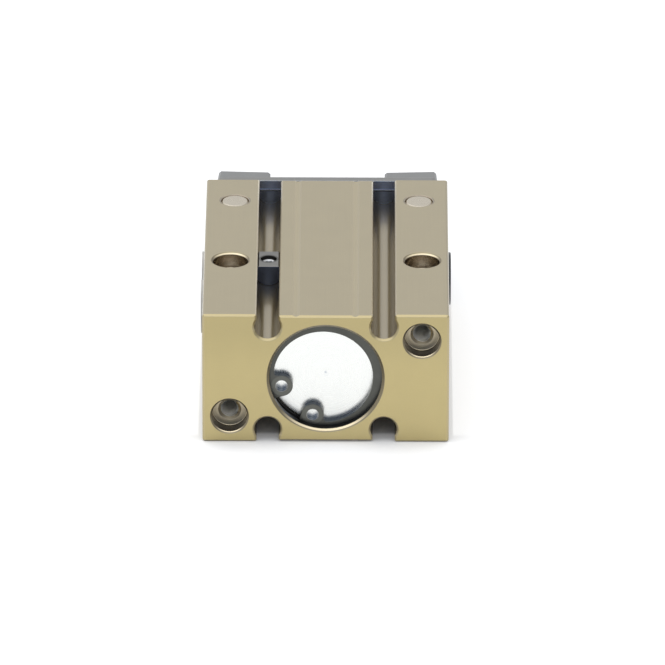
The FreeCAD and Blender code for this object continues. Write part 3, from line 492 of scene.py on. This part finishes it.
def anodised_finish(sizes, colours):
    """Blasted and anodised aluminium, deeper gold on milled ends, drawn in slots and bare in holes."""
    material, graph = new_material("anodised_bronze_gold")
    place = graph.place()
    x, y, z = graph.axes(place)
    masks = housing_masks(graph, x, y, z)
    grain = graph.grain(place, size=sizes.blast_grain, detail=3.0)
    cloud = graph.grain(place, size=4.5 * MM)
    drawn = graph.grain(place, size=0.16 * MM, stretch=DRAWN_LINES)
    rings = graph.bands(masks.rear, sizes.turning_pitch)
    # Edge band: wear and a painted edge highlight, left off round the pins and at the slots' front ends
    worn_and_sheen = graph.edge_band(sizes.wear_and_sheen_width) * (1 - masks.covered)
    tone = 1 + grain.swing(0.16) + cloud.swing(0.07) + drawn.swing(0.06)
    # Painted highlight on the bevels that face up and back
    # Painted shade: the end faces grow darker towards the top
    tone = tone + 0.36 * masks.bevel - 0.09 * masks.end * graph.ramp(z, 0.0, END_SHADE_TOP)
    # Painted highlight in the score grooves
    # Painted shade and reflection of the plate at the front ends of the slots
    # Painted shade at the left and right ends of the gap round each pin
    tone = tone + masks.score - 0.45 * masks.pin_gap_shade - 0.4 * masks.plate_shade
    base = graph.blend(masks.slot, full(colours.anodised), full(colours.drawn))
    base = graph.tint(graph.blend(masks.end, base, full(colours.milled)), tone)
    base = graph.blend(0.5 * worn_and_sheen, base, full(colours.rubbed_and_sheen))
    # Painted shade inside the cylinder bore
    base = graph.blend(masks.bore, base, full(colours.bore_shade))
    # Painted shade on the hole and bore rims, lifted again where they face the light
    base = graph.blend(0.7 * masks.rim, base, graph.tint(colours.bare, 0.45))
    base = graph.blend(masks.hole, base, graph.tint(colours.bare, 0.8 + 0.4 * rings))
    base = graph.blend(masks.floor, base, graph.tint(colours.faced, 0.7 + 0.6 * rings))
    base = graph.blend(masks.core, base, full(colours.faced))
    # Painted shade on the walls of the centring seats
    base = graph.blend(masks.wall, base, full(colours.shade))
    rough = 0.36 + 0.02 * masks.slot - 0.12 * masks.hole - 0.12 * masks.lit - 0.06 * worn_and_sheen
    rough = rough + 0.24 * masks.floor + 0.2 * masks.core + grain.swing(0.16)
    uncoated = graph.maths("MINIMUM", masks.hole + masks.bore + masks.rim + masks.plate_shade, 1.0)
    graph.surface({
        # Painted highlight on the rims and slot lips that face the light
        "Base Color": graph.blend(masks.lit, base, full(colours.cut_rim_and_highlight)),
        "Metallic": 1.0,
        "Roughness": rough,
        "Coat Weight": 0.75 + 0.25 * masks.slot - 0.65 * uncoated,
        "Coat Roughness": 0.14,
        "Coat IOR": COAT_IOR,
        "Normal": graph.relief(0.7 * grain + 0.3 * drawn, sizes.edge_radius, depth=0.02 * MM, strength=0.22),
    })
    return material


def thread_finish(name, base, sizes):
    """Freshly cut metal with a fine grain."""
    material, graph = new_material(name)
    place = graph.place()
    grain = graph.grain(place, size=0.06 * MM, detail=3.0)
    graph.surface({
        "Base Color": graph.tint(base, 0.8 + 0.4 * grain),
        "Metallic": 1.0,
        "Roughness": 0.28 + 0.2 * grain,
        "Normal": graph.relief(grain, 0.3 * sizes.edge_radius, depth=0.01 * MM, strength=0.2),
    })
    return material


def turned_finish(sizes, colours):
    """Bright lathe-cut aluminium with rings about the gripper's axis."""
    material, graph = new_material("turned_bright_aluminium")
    place = graph.place()
    x, _, z = graph.axes(place)
    radius = diagonal(x, z)
    rings = graph.bands(radius, sizes.turning_pitch)
    wide = graph.bands(radius, COARSE_TURNING * sizes.turning_pitch)
    smear = graph.grain(place, size=2.6 * MM)
    # Edge band: wear and a painted edge highlight
    worn_and_sheen = graph.edge_band(sizes.wear_and_sheen_width)
    tone = 0.98 + rings.swing(0.05) + wide.swing(0.04) + smear.swing(0.05) + 0.04 * worn_and_sheen
    graph.surface({
        "Base Color": graph.tint(colours.turned, tone),
        "Metallic": 1.0,
        "Roughness": 0.28 + rings.swing(0.1) + smear.swing(0.1),
        "Normal": graph.relief(rings, sizes.edge_radius, depth=0.012 * MM, strength=0.12),
    })
    return material


def stamped_finish(sizes, colours):
    """Oiled spring steel, brighter along its stamped edges for wear and as a painted edge highlight, on its
    lugs, and towards its right side as a painted highlight, with a painted reflection of the cap in its eyes.
    """
    material, graph = new_material("oiled_spring_steel")
    place = graph.place()
    x, _, z = graph.axes(place)
    grain = graph.grain(place, size=0.14 * MM, detail=3.0)
    patch = graph.grain(place, size=1.8 * MM)
    # Edge band: wear and a painted edge highlight
    worn_and_sheen = graph.edge_band(sizes.wear_and_sheen_width)
    # Painted highlight, brighter towards the ring's right side
    lit_right = graph.ramp(x, *LIT_RIGHT_SIDE)
    eye = graph.maths("MINIMUM", *(diagonal(x - eye_x, z - eye_z) for eye_x, eye_z in RING_EYES))
    lug = graph.within(eye, LUG_EDGE)
    tone = 0.85 + 0.3 * grain + patch.swing(0.5) + 0.7 * worn_and_sheen + 0.1 * lit_right + 0.45 * lug
    steel = graph.tint(colours.spring, tone)
    graph.surface({
        # Painted reflection of the bright cap in the walls of the eyes
        "Base Color": graph.blend(0.4 * graph.within(eye, EYE_EDGE), steel, full(colours.screw)),
        "Metallic": 1.0,
        "Roughness": 0.36 + grain.swing(0.2) + patch.swing(0.12),
        "Coat Weight": 0.25,
        "Coat Roughness": 0.25,
        "Normal": graph.relief(grain, sizes.edge_radius, depth=0.02 * MM, strength=0.25),
    })
    return material


def burnished_finish(name, sizes, stretch, paint):
    """Steel with fine grinding lines and edges lightened for wear and as a painted edge highlight, in a
    colour that paint works out from the place.
    """
    material, graph = new_material(name)
    place = graph.place()
    lines = graph.grain(place, size=0.07 * MM, stretch=stretch)
    patch = graph.grain(place, size=3.0 * MM, detail=3.0)
    speck = graph.grain(place, size=0.2 * MM, detail=3.0)
    # Edge band: wear and a painted edge highlight
    worn_and_sheen = graph.edge_band(sizes.wear_and_sheen_width)
    tone = 1 + lines.swing(0.24) + patch.swing(0.22) + speck.swing(0.1) + 0.8 * worn_and_sheen
    graph.surface({
        "Base Color": graph.tint(paint(graph, *graph.axes(place)), tone),
        "Metallic": 1.0,
        "Roughness": 0.34 + lines.swing(0.16) + patch.swing(0.12),
        "Normal": graph.relief(lines, sizes.edge_radius, depth=0.015 * MM, strength=0.22),
    })
    return material


def plain_paint(base):
    """Paint that is one colour everywhere."""
    return lambda graph, x, y, z: base


def plate_paint(colours):
    """Paint of the front plate: ground steel, with painted navy shade on its back that is lighter above the
    ledge, and painted shade on the ledge.
    """
    def paint(graph, x, y, z):
        along, up = graph.facing()[1:]
        back = graph.ramp(along, *PLATE_BACK)
        lip = graph.within(abs(PLATE_LEDGE - abs(z)), LEDGE_LIP)
        ledge = graph.ramp(abs(up), *LEDGE_UP) * graph.within(abs(z), LEDGE_TOP)
        above = 1 - graph.within(abs(z), PLATE_LEDGE)
        # Painted shade on the ledge and on its lip at the back
        steel = graph.tint(colours.plate, 1 - 0.6 * graph.maths("MAXIMUM", ledge, lip * back))
        # Painted navy shade on the back, lighter above the ledge
        return graph.blend(back * (1 - lip), steel, graph.tint(colours.navy_shade, 1 + 0.6 * above))
    return paint


def stop_paint(colours):
    """Paint of the slot stop and its screw: painted navy shade on the upright faces, painted shade in the
    counterbore and a bright socket mouth.
    """
    def paint(graph, x, y, z):
        reach = diagonal(abs(x) - SLOT_AXIS[0], y - STOP_Y)
        flat = graph.ramp(abs(graph.facing()[2]), *STOP_UP)
        # Painted shade: upright faces navy, level faces in the stop's colour
        outside = graph.blend(flat, graph.tint(colours.navy_shade, 0.4), full(colours.stop))
        # Painted shade in the counterbore round the screw
        well = graph.blend(graph.within(reach, STOP_WELL), outside, graph.tint(colours.stop, 0.45))
        return graph.blend(graph.within(reach, STOP_MOUTH), well, full(colours.screw))
    return paint


def ground_finish(sizes, colours):
    """Ground steel with rings about the pivots on the pin ends and grinding lines round the rods."""
    material, graph = new_material("ground_pin_steel")
    place = graph.place()
    x, y, z = graph.axes(place)
    rings = graph.bands(diagonal(abs(x) - PIVOT.x, y - PIVOT.y), sizes.turning_pitch)
    lines = graph.bands(y + LINE_SLANT * z, pitch=0.05 * MM)
    smear = graph.grain(place, size=0.9 * MM, detail=3.0)
    # Edge band: wear and a painted edge highlight
    worn_and_sheen = graph.edge_band(sizes.wear_and_sheen_width)
    tone = 0.98 + rings.swing(0.08) + lines.swing(0.05) + smear.swing(0.1) + 0.15 * worn_and_sheen
    graph.surface({
        "Base Color": graph.tint(colours.ground, tone),
        "Metallic": 1.0,
        "Roughness": 0.27 + rings.swing(0.14) + smear.swing(0.12),
        "Normal": graph.relief(0.6 * rings + 0.4 * lines, sizes.edge_radius, depth=0.012 * MM, strength=0.16),
    })
    return material


def screw_finish(sizes, colours):
    """Dull steel of small screws, brighter along its edges."""
    material, graph = new_material("dull_screw_steel")
    place = graph.place()
    grain = graph.grain(place, size=0.09 * MM, detail=3.0)
    patch = graph.grain(place, size=0.7 * MM)
    # Edge band: wear and a painted edge highlight
    worn_and_sheen = graph.edge_band(sizes.wear_and_sheen_width)
    tone = 0.9 + grain.swing(0.24) + patch.swing(0.3) + 0.6 * worn_and_sheen
    graph.surface({
        "Base Color": graph.tint(colours.screw, tone),
        "Metallic": 1.0,
        "Roughness": 0.33 + grain.swing(0.2),
        "Normal": graph.relief(grain, sizes.edge_radius, depth=0.012 * MM, strength=0.22),
    })
    return material


def blackened_finish(sizes, colours):
    """Blackened steel that shows bare metal along its edges."""
    material, graph = new_material("blackened_steel")
    place = graph.place()
    grain = graph.grain(place, size=0.1 * MM, detail=3.0)
    patch = graph.grain(place, size=0.8 * MM)
    # Edge band: wear that bares the metal, and a painted edge highlight
    worn_and_sheen = graph.edge_band(sizes.wear_and_sheen_width)
    base = graph.tint(colours.black, 0.7 + 0.6 * patch)
    graph.surface({
        "Base Color": graph.blend(0.5 * worn_and_sheen, base, full(colours.jaw)),
        "Metallic": 0.2 + 0.6 * worn_and_sheen,
        "Roughness": 0.3 + grain.swing(0.2) + patch.swing(0.1),
        "Specular IOR Level": 0.8,
        "Normal": graph.relief(grain, sizes.edge_radius, depth=0.015 * MM, strength=0.25),
    })
    return material


def bronze_finish(sizes, colours):
    """Sintered bronze with open pores."""
    material, graph = new_material("sintered_bronze")
    place = graph.place()
    pores = graph.ramp(graph.grain(place, size=0.13 * MM, detail=3.0), *PORE_EDGE)
    patch = graph.grain(place, size=1.5 * MM)
    graph.surface({
        "Base Color": graph.tint(colours.bronze, 0.45 + 0.5 * pores + patch.swing(0.2)),
        "Metallic": 1.0,
        "Roughness": 0.6 - 0.26 * pores,
        "Normal": graph.relief(pores, sizes.edge_radius, depth=0.02 * MM, strength=0.4),
    })
    return material


def moulded_finish(name, base, sizes, roughness):
    """Moulded rubber or polymer with a fine matt grain and a little bloom."""
    material, graph = new_material(name)
    place = graph.place()
    grain = graph.grain(place, size=0.08 * MM, detail=2.0)
    bloom = graph.grain(place, size=1.6 * MM, detail=3.0)
    graph.surface({
        "Base Color": graph.tint(base, 0.86 + 0.14 * grain + bloom.swing(0.28)),
        "Roughness": roughness + bloom.swing(0.16),
        "Normal": graph.relief(grain, 0.4 * sizes.edge_radius, depth=0.012 * MM, strength=0.3),
    })
    return material


def pressed_finish(sizes, colours):
    """Pressed magnet alloy with a coarse dull grain."""
    material, graph = new_material("pressed_magnet_alloy")
    place = graph.place()
    grain = graph.grain(place, size=0.18 * MM, detail=4.0)
    graph.surface({
        "Base Color": graph.tint(colours.magnet, 0.7 + 0.6 * grain),
        "Metallic": 0.8,
        "Roughness": 0.45 + grain.swing(0.25),
        "Normal": graph.relief(grain, sizes.edge_radius, depth=0.02 * MM, strength=0.3),
    })
    return material


def new_mesh(name, points, faces):
    """Mesh of points and the faces between them."""
    mesh = bpy.data.meshes.new(name)
    mesh.from_pydata(points, [], faces)
    mesh.validate()
    mesh.update()
    return mesh


def spoke(axis, turn):
    """Direction at right angles to an axis, turned about it."""
    side = axis.orthogonal().normalized()
    return side * math.cos(turn) + axis.cross(side) * math.sin(turn)


def thread_mesh(name, mouth, inward, core, pitch, run, height, steps):
    """Mesh of one helical thread that stands in from a hole's wall."""
    count = int(run / pitch * steps)
    root = core + SUNK_SHARE * height
    points = []
    for k in range(count + 1):
        out = spoke(inward, math.tau * k / steps)
        centre = mouth + inward * (pitch * k / steps)
        crest = core - height * min(1.0, k / steps, (count - k) / steps)
        profile = ((root, -FOOT_HALF), (crest, -CREST_HALF), (crest, CREST_HALF), (root, FOOT_HALF))
        points.extend(centre + out * radius + inward * (shift * pitch) for radius, shift in profile)
    corners = len(profile)
    quads = []
    for k in range(count):
        for j in range(corners):
            near = corners * k + j
            level_with = corners * k + (j + 1) % corners
            quads.append((near, near + corners, level_with + corners, level_with))
    last = corners * count
    ends = [tuple(range(corners)), tuple(reversed(range(last, last + corners)))]
    return new_mesh(name, points, quads + ends)


def corner_mesh(name, floor, inward, radius, size, steps):
    """Mesh of the ring that a cutter leaves between a seat's wall and its floor, sunk a little in both."""
    sunk = SUNK_SHARE * size
    bends = [math.pi / 2 * j / CORNER_STEPS for j in range(CORNER_STEPS + 1)]
    section = [(size * (1 - math.cos(b)) - sunk, size * (1 - math.sin(b)) - sunk) for b in bends]
    section.append((-sunk, -sunk))
    corners = len(section)
    points = []
    quads = []
    for k in range(steps):
        out = spoke(inward, math.tau * k / steps)
        points.extend(floor + out * (radius - inset) - inward * rise for inset, rise in section)
        near = corners * k
        far = corners * ((k + 1) % steps)
        for j in range(corners):
            after = (j + 1) % corners
            quads.append((near + j, near + after, far + after, far + j))
    return new_mesh(name, points, quads)


def mount(name):
    """One of the record's mounts."""
    return next(m for m in frame["record"]["mounts"] if m["name"] == name)


def hole_places(mount_name, along, sunk):
    """Label and place of each hole in a two-hole mount whose holes lie along a direction."""
    holes = mount(mount_name)
    middle = Vector(holes["pos_m"]) - Vector(holes["axis"]) * sunk
    spacing = holes["dims"].get("pcd_mm") or holes["dims"]["spacing_x_mm"]
    step = along.normalized() * (spacing / 2 * MM)
    return [(f"{mount_name}_a", middle - step), (f"{mount_name}_b", middle + step)]


def add_detail(mesh, material, body):
    """Add a piece of fine detail that moves with a body."""
    mesh.materials.append(material)
    mesh.shade_smooth()
    mesh.set_sharp_from_angle(angle=SMOOTH_ANGLE)
    detail = bpy.data.objects.new(mesh.name, mesh)
    bpy.context.scene.collection.objects.link(detail)
    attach(detail, body)


def cut_threads(mount_name, body, slot, material, along, sunk, run, core, pitch, sizes):
    """Cut the thread of every hole in a two-hole mount whose holes lie along a direction."""
    inward = -Vector(mount(mount_name)["axis"])
    for name, mouth in hole_places(mount_name, along, sunk):
        mesh = thread_mesh(name, mouth, inward, core, pitch, run, sizes.thread_height, sizes.thread_steps)
        add_detail(mesh, material, body)


def round_seats(mount_name, material, along, sizes):
    """Round the inner corner of both seats of a mount in the housing."""
    seats = mount(mount_name)
    inward = -Vector(seats["axis"])
    radius = seats["dims"]["hole_r_mm"] * MM
    for name, floor in hole_places(mount_name, along, sizes.seat_depth):
        mesh = corner_mesh(name, floor, inward, radius, sizes.seat_corner, 2 * sizes.thread_steps)
        add_detail(mesh, material, "housing")


def looking_rays(graph):
    """1 for rays that look at the stage and 0 for rays that only light something."""
    path = graph.node("ShaderNodeLightPath").socket.node
    kinds = ("Is Camera Ray", "Is Glossy Ray", "Is Transmission Ray")
    looks = [Wire(graph, path.outputs[kind]) for kind in kinds]
    return graph.maths("MINIMUM", looks[0] + looks[1] + looks[2], 1.0)


def lay_floor(stage, colours):
    """White table under the part that keeps the part's shadow; its glow for seen rays fades near the part as
    a painted contact shadow and stays beside the part and under its rear edge as painted light.
    """
    half_part = CAD_BOX[1].x
    low = CAD_BOX[0].z
    signs = ((-1, -1), (1, -1), (1, 1), (-1, 1))
    mesh = new_mesh("table", [(i * TABLE_HALF, j * TABLE_HALF, low) for i, j in signs], [(0, 1, 2, 3)])
    table = bpy.data.objects.new("table", mesh)
    bpy.context.scene.collection.objects.link(table)
    material, graph = new_material("white_table")
    lit = graph.node("ShaderNodeBsdfDiffuse", sockets={"Color": full(colours.floor)})
    settings = {"samples": SHADE_SAMPLES}
    open_air = graph.node("ShaderNodeAmbientOcclusion", settings, {"Distance": SHADE_REACH}, "AO")
    x, y = graph.axes(graph.place())[:2]
    # Painted light: beside the part the glow stays whole where its shadow would fall
    beside = graph.ramp(abs(x), half_part, half_part + SIDE_FADE) * graph.ramp(y, 0.0, REAR_FADE)
    # Painted light: under the rear edge and in front of it some glow stays, lighting the floor in the slot
    # mouths
    under = CONTACT_GLOW * graph.ramp(y, *CONTACT_FADE)
    kept_light = graph.maths("MAXIMUM", beside, under)
    # Elsewhere the glow fades with occlusion, a painted contact shadow
    open_floor = graph.maths("MAXIMUM", kept_light, graph.ramp(open_air, *SHADE_RANGE))
    white = graph.tint((1.0, 1.0, 1.0), looking_rays(graph) * open_floor * stage.floor_glow)
    glow = graph.node("ShaderNodeEmission", sockets={"Color": white})
    both = graph.node("ShaderNodeAddShader", sockets={0: lit, 1: glow})
    graph.node("ShaderNodeOutputMaterial", sockets={"Surface": both})
    mesh.materials.append(material)


def set_sky(scene, stage):
    """Pale cool studio, brighter overhead and on the left, and darker low down behind the camera."""
    world = bpy.data.worlds.new("studio")
    world.use_nodes = True
    graph = Graph(world.node_tree)
    x, y, z = graph.axes(graph.node("ShaderNodeTexCoord", output="Generated"))
    height = graph.ramp(z, *SKY_RISE)
    room = graph.ramp(y, *ROOM_BACK) * graph.ramp(z, *ROOM_LOW)
    looked_at = (stage.sky_low + (stage.sky_high - stage.sky_low) * height) * (1 - stage.room_shade * room)
    seen_only = (1 - stage.sky_fill - stage.sky_lean * x) * looking_rays(graph)
    strength = looked_at * (stage.sky_fill + seen_only)
    air = graph.blend(room, CLEAR_AIR, SHADED_AIR)
    sky = graph.node("ShaderNodeBackground", sockets={"Color": graph.tint(air, strength)})
    graph.node("ShaderNodeOutputWorld", sockets={"Surface": sky})
    scene.world = world


def hang_softbox(name, power, size, spot):
    """Hang a square area lamp that looks at the part, and return it."""
    lamp = bpy.data.lights.new(name, "AREA")
    lamp.energy = power
    lamp.size = size
    holder = bpy.data.objects.new(name, lamp)
    holder.location = spot
    middle = (CAD_BOX[0] + CAD_BOX[1]) / 2
    holder.rotation_euler = (middle - spot).to_track_quat("-Z", "Y").to_euler()
    bpy.context.scene.collection.objects.link(holder)
    return holder


def set_camera(scene, stage):
    """Long-lens camera that looks down on the rear face."""
    sine = math.sin(stage.elevation)
    cosine = math.cos(stage.elevation)
    turn = Matrix.Rotation(-stage.turn, 3, "Z")
    right = turn @ Vector((1.0, 0.0, 0.0))
    up = turn @ Vector((0.0, sine, cosine))
    ahead = turn @ Vector((0.0, cosine, -sine))
    spot = right * stage.aim_right + up * stage.aim_up - ahead * stage.distance
    rolled_right = right * math.cos(stage.roll) + up * math.sin(stage.roll)
    rolled_up = up * math.cos(stage.roll) - right * math.sin(stage.roll)
    lens = bpy.data.cameras.new("camera")
    lens.lens = stage.lens
    lens.sensor_width = SENSOR_WIDTH
    camera = bpy.data.objects.new("camera", lens)
    pose = Matrix((rolled_right, rolled_up, -ahead)).transposed().to_4x4()
    camera.matrix_world = Matrix.Translation(spot) @ pose
    scene.collection.objects.link(camera)
    scene.camera = camera


def settings_of(context):
    """Sizes and colours that are set on the scene."""
    return context.scene.gripper_sizes, context.scene.gripper_colours


class GRIPPER_OT_housing(bpy.types.Operator):
    """Finish the anodised housing"""

    bl_idname = "gripper.housing"
    bl_label = "Housing"

    def execute(self, context):
        dress("anodised", anodised_finish(*settings_of(context)))
        return {"FINISHED"}


class GRIPPER_OT_cylinder_end(bpy.types.Operator):
    """Finish the end cap, the piston's turned parts and the retaining ring"""

    bl_idname = "gripper.cylinder_end"
    bl_label = "Cylinder end"

    def execute(self, context):
        dress("turned_aluminium", turned_finish(*settings_of(context)))
        dress("spring_steel", stamped_finish(*settings_of(context)))
        return {"FINISHED"}


class GRIPPER_OT_jaws(bpy.types.Operator):
    """Finish the jaws and the front plate"""

    bl_idname = "gripper.jaws"
    bl_label = "Jaws and front plate"

    def execute(self, context):
        sizes, colours = settings_of(context)
        jaw = burnished_finish("burnished_jaw_steel", sizes, JAW_LINES, plain_paint(colours.jaw))
        plate = burnished_finish("plate_steel_with_painted_shade", sizes, PLATE_LINES, plate_paint(colours))
        dress("jaw_steel", jaw)
        dress("plate_steel", plate)
        return {"FINISHED"}


class GRIPPER_OT_drive(bpy.types.Operator):
    """Finish the pins, the rod and the crosshead"""

    bl_idname = "gripper.drive"
    bl_label = "Pins, rod and crosshead"

    def execute(self, context):
        sizes, colours = settings_of(context)
        paint = plain_paint(colours.machined)
        dress("ground_steel", ground_finish(sizes, colours))
        dress("machined_steel", burnished_finish("machined_crosshead_steel", sizes, CROSSHEAD_LINES, paint))
        return {"FINISHED"}


class GRIPPER_OT_fasteners(bpy.types.Operator):
    """Finish the screws, the slot stop and the port plug"""

    bl_idname = "gripper.fasteners"
    bl_label = "Screws, stop and plug"

    def execute(self, context):
        sizes, colours = settings_of(context)
        dress("screw_steel", screw_finish(sizes, colours))
        dress_node("right_port_plug", blackened_finish(sizes, colours))
        stop = burnished_finish("stop_steel_with_painted_shade", sizes, STOP_LINES, stop_paint(colours))
        dress_node("slot_stop", stop)
        dress_node("slot_stop_screw", stop)
        return {"FINISHED"}


class GRIPPER_OT_seals(bpy.types.Operator):
    """Finish the bushes, seals, guide ring, magnet and port rings"""

    bl_idname = "gripper.seals"
    bl_label = "Bushes and seals"

    def execute(self, context):
        sizes, colours = settings_of(context)
        dress("bearing_bronze", bronze_finish(sizes, colours))
        dress("seal_rubber", moulded_finish("black_seal_rubber", colours.rubber, sizes, roughness=0.55))
        dress("pale_polymer", moulded_finish("pale_ring_polymer", colours.pale, sizes, roughness=0.42))
        dress("guide_polymer", moulded_finish("brown_guide_polymer", colours.guide, sizes, roughness=0.5))
        dress("magnet_alloy", pressed_finish(sizes, colours))
        return {"FINISHED"}


class GRIPPER_OT_threads(bpy.types.Operator):
    """Cut the threads of the screw holes and air ports and round the corners of the seats"""

    bl_idname = "gripper.threads"
    bl_label = "Threads"

    def execute(self, context):
        sizes, colours = settings_of(context)
        block = thread_finish("cut_housing_thread", colours.cut_thread, sizes)
        corner = thread_finish("cut_seat_corner", colours.cut_rim_and_highlight, sizes)
        steel = thread_finish("cut_jaw_thread", colours.jaw, sizes)
        screw = (sizes.screw_core, sizes.screw_pitch, sizes)
        port = (sizes.port_core, sizes.port_pitch, sizes)
        slanted = Vector((REAR_HOLE[0], 0.0, REAR_HOLE[1]))
        across = Vector((1.0, 0.0, 0.0))
        lengthways = Vector((0.0, 1.0, 0.0))
        upright = Vector((0.0, 0.0, 1.0))
        start = -THREAD_LEAD * sizes.screw_pitch
        for face, along in (("rear", slanted), ("top", across), ("bottom", across)):
            cut_threads(f"{face}_threads", "housing", "anodised", block, along, start, BLOCK_THREAD, *screw)
            round_seats(f"{face}_seats", corner, along, sizes)
        for hand in ("left", "right"):
            holes = f"{hand}_jaw_threads"
            along = Vector(mount(holes)["axis"]).cross(upright)
            cut_threads(holes, f"{hand}_jaw", "jaw_steel", steel, along, start, JAW_THREAD, *screw)
        cut_threads("side_ports", "housing", "anodised", block, lengthways, -PORT_LEAD, PORT_THREAD, *port)
        return {"FINISHED"}


class GRIPPER_OT_stage(bpy.types.Operator):
    """Set out the white table, the softboxes and the camera"""

    bl_idname = "gripper.stage"
    bl_label = "Stage"

    def execute(self, context):
        scene = context.scene
        stage = scene.gripper_stage
        scene.view_settings.view_transform = "Standard"
        lay_floor(stage, scene.gripper_colours)
        set_sky(scene, stage)
        key = hang_softbox("key_softbox", stage.key_power, KEY_SIZE, KEY_SPOT)
        key.visible_glossy = False  # Bright metal mirrors the sky alone
        hang_softbox("fill_softbox", stage.fill_power, FILL_SIZE, FILL_SPOT)
        set_camera(scene, stage)
        return {"FINISHED"}


STEPS = (
    GRIPPER_OT_housing,
    GRIPPER_OT_cylinder_end,
    GRIPPER_OT_jaws,
    GRIPPER_OT_drive,
    GRIPPER_OT_fasteners,
    GRIPPER_OT_seals,
    GRIPPER_OT_threads,
    GRIPPER_OT_stage,
)


class GRIPPER_PT_panel(bpy.types.Panel):
    """Lists the steps that dress the gripper"""

    bl_idname = "GRIPPER_PT_panel"
    bl_label = "Angular gripper"
    bl_space_type = "VIEW_3D"
    bl_region_type = "UI"
    bl_category = "Gripper"

    def draw(self, context):
        column = self.layout.column(align=True)
        for step in STEPS:
            column.operator(step.bl_idname)
        for group in (*settings_of(context), context.scene.gripper_stage):
            box = self.layout.box()
            for name in group.__annotations__:
                box.prop(group, name)


GROUPS = {"gripper_sizes": GripperSizes, "gripper_colours": GripperColours, "gripper_stage": GripperStage}
CLASSES = (*GROUPS.values(), *STEPS, GRIPPER_PT_panel)


def register():
    """Register the classes and hang the settings on the scene."""
    for cls in CLASSES:
        bpy.utils.register_class(cls)
    for name, group in GROUPS.items():
        setattr(bpy.types.Scene, name, PointerProperty(type=group))


def unregister():
    """Take the settings and classes away again."""
    for name in GROUPS:
        delattr(bpy.types.Scene, name)
    for cls in reversed(CLASSES):
        bpy.utils.unregister_class(cls)


def main():
    """Dress the gripper step by step."""
    register()
    bpy.ops.gripper.housing()
    bpy.ops.gripper.cylinder_end()
    bpy.ops.gripper.jaws()
    bpy.ops.gripper.drive()
    bpy.ops.gripper.fasteners()
    bpy.ops.gripper.seals()
    bpy.ops.gripper.threads()
    bpy.ops.gripper.stage()


if __name__ == "__main__":
    main()
